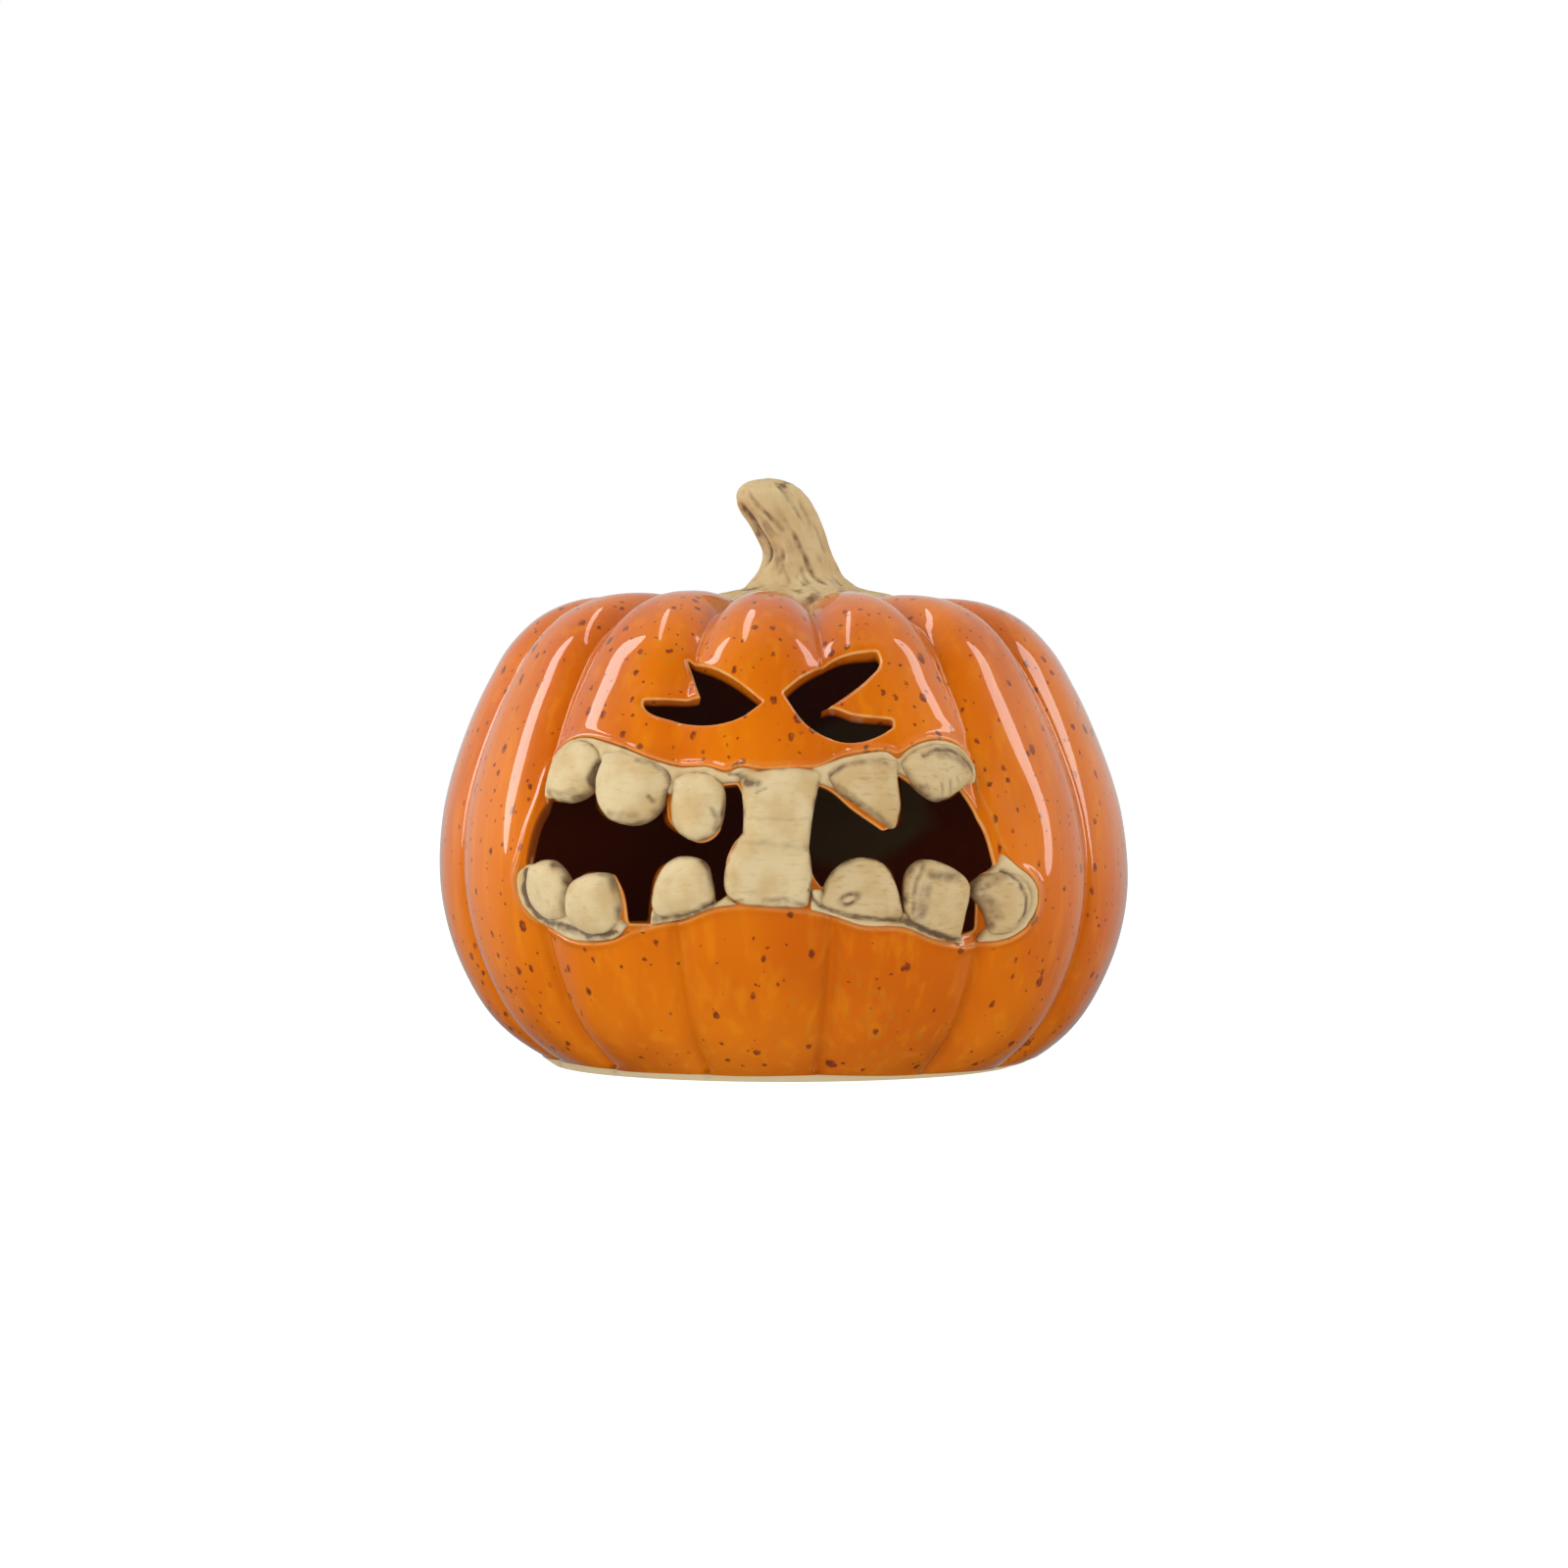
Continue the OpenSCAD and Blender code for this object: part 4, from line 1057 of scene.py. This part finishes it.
class Shader(Nodes):
    """A material built from nodes on the object's own coordinates."""

    def __init__(self, name):
        self.material = bpy.data.materials.new(name)
        self.material.use_nodes = True
        super().__init__(self.material.node_tree)
        self.surface = self.tree.nodes["Principled BSDF"]
        self.place = self.add("ShaderNodeTexCoord").outputs["Object"]

    def math(self, operation, a, b=0.0, clamp=False):
        return self.add("ShaderNodeMath", {0: a, 1: b}, operation=operation, use_clamp=clamp).outputs[0]

    def times(self, a, b):
        return self.math("MULTIPLY", a, b)

    def shifted(self, vector, offset, operation="ADD"):
        return self.add("ShaderNodeVectorMath", {0: vector, 1: offset}, operation=operation).outputs[0]

    def between(self, value, low, high, start=0.0, end=1.0):
        """A value's place between two limits, smoothed and clamped."""
        return self.ranged(value, low, high, start, end, "SMOOTHSTEP")

    def mix(self, factor, a, b, blend="MIX"):
        node = self.add("ShaderNodeMix", data_type="RGBA", blend_type=blend)
        self.feed(node.inputs["Factor"], factor)
        for key, value in (("A", a), ("B", b)):
            socket = next(s for s in node.inputs if s.name == key and s.type == "RGBA")
            self.feed(socket, value if isinstance(value, bpy.types.NodeSocket) else (*value, 1))
        return next(s for s in node.outputs if s.type == "RGBA")

    def stretched(self, scale, vector=None):
        mapping = self.add("ShaderNodeMapping", {"Vector": vector or self.place, "Scale": scale})
        return mapping.outputs["Vector"]

    def noise_node(self, size_mm, detail=2.0, roughness=0.5, vector=None):
        """Noise whose features are about a size apart."""
        return self.add("ShaderNodeTexNoise", {"Vector": vector or self.place, "Scale": 1 / (size_mm * MM),
                                               "Detail": detail, "Roughness": roughness})

    def noise(self, *settings, **named):
        return self.noise_node(*settings, **named).outputs["Fac"]

    def attribute(self, name):
        return self.add("ShaderNodeAttribute", attribute_name=name).outputs["Fac"]

    def warped(self, size_mm, amount_mm):
        """The object's coordinates, shaken a little."""
        centred = self.shifted(self.noise_node(size_mm).outputs["Color"], (0.5, 0.5, 0.5), "SUBTRACT")
        scaled = self.add("ShaderNodeVectorMath", {0: centred, "Scale": 2 * amount_mm * MM},
                          operation="SCALE").outputs[0]
        return self.shifted(self.place, scaled)

    def specks(self, vector, cell_mm, largest_mm, chance, soft_mm, offset):
        """Round spots, each of its own size, with a share of the cells left empty."""
        cells = self.add("ShaderNodeTexVoronoi", {"Vector": self.shifted(vector, offset),
                                                  "Scale": 1 / (cell_mm * MM)})
        random = self.add("ShaderNodeSeparateColor", {"Color": cells.outputs["Color"]}).outputs
        reach = self.times(cells.outputs["Distance"], cell_mm)
        radius = self.times(self.math("ADD", random["Red"], 0.8), largest_mm / 1.8)
        spot = self.between(self.math("SUBTRACT", radius, reach), -soft_mm, soft_mm)
        return self.times(spot, self.math("LESS_THAN", random["Green"], chance))

    def bump(self, *layers):
        """Relief from (height, depth in mm) layers."""
        normal = None
        for height, depth_mm in layers:
            node = self.add("ShaderNodeBump", {"Height": height, "Distance": depth_mm * MM, "Strength": 1.0})
            if normal is not None:
                self.feed(node.inputs["Normal"], normal)
            normal = node.outputs["Normal"]
        self.feed(self.surface.inputs["Normal"], normal)

    def finish(self, colour, roughness, **constants):
        self.feed(self.surface.inputs["Base Color"], colour)
        self.feed(self.surface.inputs["Roughness"], roughness)
        for key, value in constants.items():
            self.surface.inputs[key.replace("_", " ")].default_value = value
        return self.material


ORANGE = (0.67, 0.162, 0.001)
DEEP_ORANGE = (0.55, 0.108, 0.001)
PALE_ORANGE = (0.75, 0.25, 0.005)
OLIVE_STREAK = (0.46, 0.17, 0.012)
GLAZE_BROWN = (0.19, 0.034, 0.008)
GLAZE_EDGE = (0.86, 0.50, 0.17)
# Painted shade: the brown that the cut faces darken to towards the inner wall and on the left mouth's wall
CUT_SHADE_BROWN = (0.10, 0.018, 0.003)
CREAM_CLAY = (0.55, 0.39, 0.18)
PALE_CLAY = (0.62, 0.49, 0.27)
TAN_CLAY = (0.40, 0.23, 0.08)
BROWN_STAIN = (0.10, 0.042, 0.015)
PURPLE_STAIN = (0.09, 0.048, 0.042)
# Partly the dark inner glaze and partly painted shade of the closed inside
DARK_INSIDE = (0.15, 0.02, 0.003)
# Painted light: the paler colour of the lit patch on the back of the inner wall
GREY_INSIDE = (0.14, 0.085, 0.035)
FOOT_CLAY = (0.66, 0.50, 0.30)
# The middle of the paler patch of painted light, where light through the openings falls on the back of the
# inner wall, in metres
GREY_PATCH_AT = (0.022, 0.095, 0.086)


def glaze_material():
    """Orange glaze with pale runs, olive streaks, brown specks, worn edges and painted shade on the cut
    faces.
    """
    m = Shader("speckled_orange_glaze")
    depth = m.between(m.noise(38, 2, vector=m.stretched((1, 1, 0.45))), 0.32, 0.68)
    colour = m.mix(depth, ORANGE, DEEP_ORANGE)
    runs = m.between(m.noise(4.5, 3, vector=m.stretched((1, 1, 0.06))), 0.48, 0.74, 0, 0.32)
    colour = m.mix(runs, colour, PALE_ORANGE)
    colour = m.mix(m.between(m.attribute("pooled"), 0.1, 0.9, 0, 0.45), colour, DEEP_ORANGE)
    streaks = m.between(m.noise(2.2, 3, 0.6, m.stretched((1, 1, 0.05))), 0.5, 0.72)
    streaks = m.times(streaks, m.between(m.noise(34, 1), 0.45, 0.65, 0, 0.55))
    colour = m.mix(streaks, colour, OLIVE_STREAK)
    where = m.add("ShaderNodeSeparateXYZ", {"Vector": m.place}).outputs
    upper = m.between(where["Z"], 0.055, 0.115)
    side = m.between(m.math("ABSOLUTE", where["X"]), 0.05, 0.09)
    crowd = m.math("MAXIMUM", upper, side)
    shaken = m.warped(1.7, 0.85)
    tall = m.stretched((1, 1, 0.7), shaken)
    spots = m.specks(tall, 9.5, 1.8, m.between(crowd, 0, 1, 0.3, 0.55), 0.3, (0.07, 0.03, 0.11))
    common = m.between(crowd, 0, 1, 0.42, 0.95)
    spots = m.math("MAXIMUM", spots, m.specks(tall, 5.8, 1.2, common, 0.22, (0.31, 0.17, 0.23)))
    spots = m.math("MAXIMUM", spots, m.specks(shaken, 3.8, 0.65, common, 0.16, (0.13, 0.41, 0.05)))
    worn = m.between(m.noise(1.4, 2), 0.3, 0.6, 0.6, 1.0)
    colour = m.mix(m.times(spots, worn), colour, GLAZE_BROWN)
    # Painted shade: the deep layer darkens the cut faces towards the inner wall and on the left mouth's wall
    colour = m.mix(m.between(m.attribute("deep"), 0.4, 1.0, 0, 0.9), colour, CUT_SHADE_BROWN)
    edge = m.times(m.attribute("broken"), m.between(m.noise(4, 2), 0.25, 0.6, 0.55, 1.0))
    colour = m.mix(edge, colour, GLAZE_EDGE)
    m.bump((m.noise(16, 1), 0.7), (m.noise(6.5, 2), 0.09), (m.noise(2.4, 2), 0.018))
    return m.finish(colour, m.between(m.noise(10, 3), 0.3, 0.7, 0.3, 0.4), Specular_IOR_Level=0.08,
                    Coat_Weight=1.0, Coat_Roughness=0.04)


def inside_material():
    """The dark glaze inside, darkened further as painted shade, with a greyer patch of painted light at the
    back.
    """
    m = Shader("dark_inside")
    distance = m.add("ShaderNodeVectorMath", {0: m.place, 1: GREY_PATCH_AT}, operation="DISTANCE")
    away = m.math("ADD", distance.outputs["Value"], m.times(m.noise(30, 1), 0.02))
    # Painted light: a paler patch where light through the openings falls on the back wall
    patch = m.between(away, 0.036, 0.042, 1, 0)
    colour = m.mix(patch, DARK_INSIDE, GREY_INSIDE)
    m.bump((m.noise(3, 3), 0.15))
    return m.finish(colour, m.between(m.noise(12, 2), 0.3, 0.7, 0.6, 0.8))


def clay_material(name, warmth, brushed, washed=0.0):
    """Unglazed clay with stain wiped into its hollows. warmth is how tan its darkest patches are, brushed
    how strongly the wipe marks show, and washed how tan the clay is everywhere."""
    m = Shader(name)
    colour = m.mix(m.between(m.noise(9, 3), 0.35, 0.7), PALE_CLAY, CREAM_CLAY)
    colour = m.mix(m.between(m.noise(14, 4, 0.6), 0.5, 0.8, washed, warmth), colour, TAN_CLAY)
    wipes = m.between(m.noise(1.1, 3, 0.6, m.stretched((0.16, 0.5, 1.0))), 0.52, 0.8, 0, brushed)
    colour = m.mix(wipes, colour, TAN_CLAY)
    grit = m.between(m.noise(1.3, 4, 0.7), 0.3, 0.7)
    stain = m.times(m.attribute("stain"), m.between(m.noise(2.6, 4, 0.65), 0.3, 0.65, 0.35, 1.15))
    fringe = m.math("SUBTRACT", m.times(stain, 1.5), m.times(grit, 0.25), clamp=True)
    tint = m.mix(m.attribute("purple"), BROWN_STAIN, PURPLE_STAIN)
    colour = m.mix(m.times(fringe, 0.82), colour, tint)
    m.bump((m.noise(2.6, 4, 0.6), 0.22), (m.noise(0.5, 3, 0.7), 0.05))
    return m.finish(colour, m.between(grit, 0.0, 1.0, 0.55, 0.75), Specular_IOR_Level=0.35)


def foot_material():
    m = Shader("bare_foot_clay")
    colour = m.mix(m.between(m.noise(5, 4), 0.35, 0.7), PALE_CLAY, FOOT_CLAY)
    m.bump((m.noise(0.7, 4, 0.7), 0.1))
    return m.finish(colour, m.between(m.noise(2, 3), 0.3, 0.7, 0.75, 0.9))


def moulded_material(name, colour, other, rough, **constants):
    """Moulded plastic or plated metal with a faint unevenness."""
    m = Shader(name)
    tint = m.mix(m.between(m.noise(6, 3), 0.35, 0.7), colour, other)
    m.bump((m.noise(0.35, 3, 0.6), 0.012))
    return m.finish(tint, m.between(m.noise(3, 3), 0.3, 0.7, rough * 0.8, rough * 1.2), **constants)


def dress(node_name, material):
    """Gives a CAD node that stays in view its finish."""
    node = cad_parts[node_name]
    if not node.data.materials:
        node.data.materials.append(None)
    for slot in node.material_slots:
        slot.link = "OBJECT"
        slot.material = material


# ---------------------------------------------------------------- the piece itself
glaze = glaze_material()
tooth_clay = clay_material("stained_tooth_clay", 0.4, 0.45)
brown_tooth_clay = clay_material("browner_tooth_clay", 0.9, 0.95, 0.25)
gum_clay = clay_material("stained_gum_clay", 0.35, 0.2)
stem_clay = clay_material("stained_stem_clay", 0.7, 0.25, 0.2)

shell = build_shell(glaze, foot_material(), inside_material())
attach(shell, "pumpkin")
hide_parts("pumpkin_shell")

# Rows of points along a tooth's edge, as shares of its rounding's width, and along a gum's edge in mm
TOOTH_RINGS = (0.03, 0.12, 0.28)
GUM_RINGS = (0.2, 0.6)

tooth_outlines = []
for name, (height, edge, lean_up, lean_right, corners) in TEETH.items():
    outline = Outline(corners, 0.8)
    if name not in ORANGE_EDGED:
        outline = Outline(outline.offset(OVERHANG)[::4], 0.3)
    tooth_outlines.append(outline)
    rings = [edge * share for share in TOOTH_RINGS]
    shape = tooth_height(name, outline, height, edge, lean_up, lean_right)
    clay = brown_tooth_clay if "right" in name else tooth_clay
    piece = build_clay(name + "_clay", outline, [], rings, shape, clay)
    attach(piece, "pumpkin")
    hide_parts(name)

for name, corners in GUMS.items():
    outline = Outline(corners, 0.6)
    shape = gum_height(outline, tooth_outlines)
    piece = build_clay(name + "_clay", outline, mouths, GUM_RINGS, shape, gum_clay)
    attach(piece, "pumpkin")
    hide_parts(name)

stem = build_stem(stem_clay)
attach(stem, "pumpkin")
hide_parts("stem")

white_plastic = moulded_material("white_plastic", (0.80, 0.78, 0.72), (0.74, 0.72, 0.66), 0.35)
flame_plastic = moulded_material("flame_plastic", (0.90, 0.45, 0.12), (0.85, 0.38, 0.08), 0.3,
                                 Transmission_Weight=0.4)
steel = moulded_material("steel", (0.55, 0.55, 0.54), (0.48, 0.48, 0.48), 0.3, Metallic=1.0)
brass = moulded_material("brass_strip", (0.72, 0.52, 0.22), (0.66, 0.46, 0.18), 0.3, Metallic=1.0)
black_plastic = moulded_material("black_plastic", (0.03, 0.03, 0.032), (0.045, 0.045, 0.045), 0.45)
led_epoxy = moulded_material("led_epoxy", (0.85, 0.83, 0.74), (0.80, 0.77, 0.66), 0.15,
                             Transmission_Weight=0.5)
for node_name, material in {"light_housing": white_plastic, "base_plate": white_plastic,
                            "battery_door": white_plastic, "flame": flame_plastic, "led": led_epoxy,
                            "coin_cell": steel, "positive_contact": brass, "negative_contact": brass,
                            "switch_slider": black_plastic}.items():
    dress(node_name, material)


# ---------------------------------------------------------------- floor, lights and camera
LIGHT_FROM_BELOW, LIGHT_FROM_ABOVE = 0.92, 0.40
MIRRORED_BACK = 0.65
FLOOR_GLOW = 0.85
FLOOR_REACH = 6.0
LIGHTS_AIM = (0, 0, 0.09)
CAMERA_AT, CAMERA_AIM, CAMERA_LENS = (0, -1.2, 0.1), (0, 0, 0.0934), 81.9


def build_floor():
    m = Shader("white_floor")
    colour = m.mix(m.between(m.noise(60, 2), 0.3, 0.7), (0.52, 0.52, 0.52), (0.48, 0.48, 0.48))
    material = m.finish(colour, 0.9, Specular_IOR_Level=0.1, Emission_Color=(1, 1, 1, 1),
                        Emission_Strength=FLOOR_GLOW)
    mesh = bpy.data.meshes.new("floor")
    corners = [(x * FLOOR_REACH, y * FLOOR_REACH, 0) for x, y in ((-1, -1), (1, -1), (1, 1), (-1, 1))]
    mesh.from_pydata(corners, [], [(0, 1, 2, 3)])
    mesh.materials.append(material)
    floor = bpy.data.objects.new("floor", mesh)
    bpy.context.scene.collection.objects.link(floor)
    floor.visible_glossy = False
    floor.visible_diffuse = False


def turned_to(position, aim):
    """The rotation of a light or a camera that looks from a position at an aim."""
    return (Vector(aim) - Vector(position)).to_track_quat("-Z", "Y").to_euler()


def softbox(name, position, size, power):
    light = bpy.data.lights.new(name, "AREA")
    light.shape = "ELLIPSE"
    light.size, light.size_y = size
    light.energy = power
    box = bpy.data.objects.new(name, light)
    box.location = position
    box.rotation_euler = turned_to(position, LIGHTS_AIM)
    bpy.context.scene.collection.objects.link(box)
    return box


def build_world():
    """White for the camera, dimmer as a light, and in the glaze dark in front and pale behind."""
    world = bpy.data.worlds.new("studio")
    world.use_nodes = True
    studio = Nodes(world.node_tree)
    rays = studio.add("ShaderNodeLightPath").outputs
    generated = studio.add("ShaderNodeTexCoord").outputs["Generated"]
    way = studio.add("ShaderNodeSeparateXYZ", {"Vector": generated}).outputs
    above = studio.ranged(way["Z"], -0.6, 0.1, 0.0, MIRRORED_BACK)
    around = studio.ranged(way["Y"], -0.5, 0.4, 0.0, above)
    lighting = studio.ranged(way["Z"], -1.0, 1.0, LIGHT_FROM_BELOW, LIGHT_FROM_ABOVE)
    mirrored = studio.ranged(rays["Is Glossy Ray"], 0.0, 1.0, lighting, around)
    seen = studio.ranged(rays["Is Camera Ray"], 0.0, 1.0, mirrored, 1.0)
    background = studio.tree.nodes["Background"]
    studio.feed(background.inputs["Color"], (1, 1, 1, 1))
    studio.feed(background.inputs["Strength"], seen)
    bpy.context.scene.world = world
    bpy.context.scene.view_settings.view_transform = "Standard"


def build_lights():
    """Three softboxes that the glaze mirrors and two fills that it doesn't."""
    softbox("left_softbox", (-1.1, -0.05, 0.75), (0.32, 1.5), 8.0)
    softbox("right_softbox", (1.12, -0.05, 0.75), (0.32, 1.5), 5.5)
    softbox("top_softbox", (-0.25, 0.05, 1.35), (0.9, 0.14), 1.6)
    for fill in (softbox("front_fill", (-0.75, -1.3, 0.28), (1.0, 0.5), 8.5),
                 softbox("low_fill", (0.9, -1.2, 0.13), (0.6, 0.25), 4.2)):
        fill.visible_glossy = False


def build_camera():
    camera = bpy.data.cameras.new("camera")
    camera.sensor_width = 36
    camera.lens = CAMERA_LENS
    holder = bpy.data.objects.new("camera", camera)
    holder.location = CAMERA_AT
    holder.rotation_euler = turned_to(CAMERA_AT, CAMERA_AIM)
    bpy.context.scene.collection.objects.link(holder)
    bpy.context.scene.camera = holder


build_floor()
build_world()
build_lights()
build_camera()
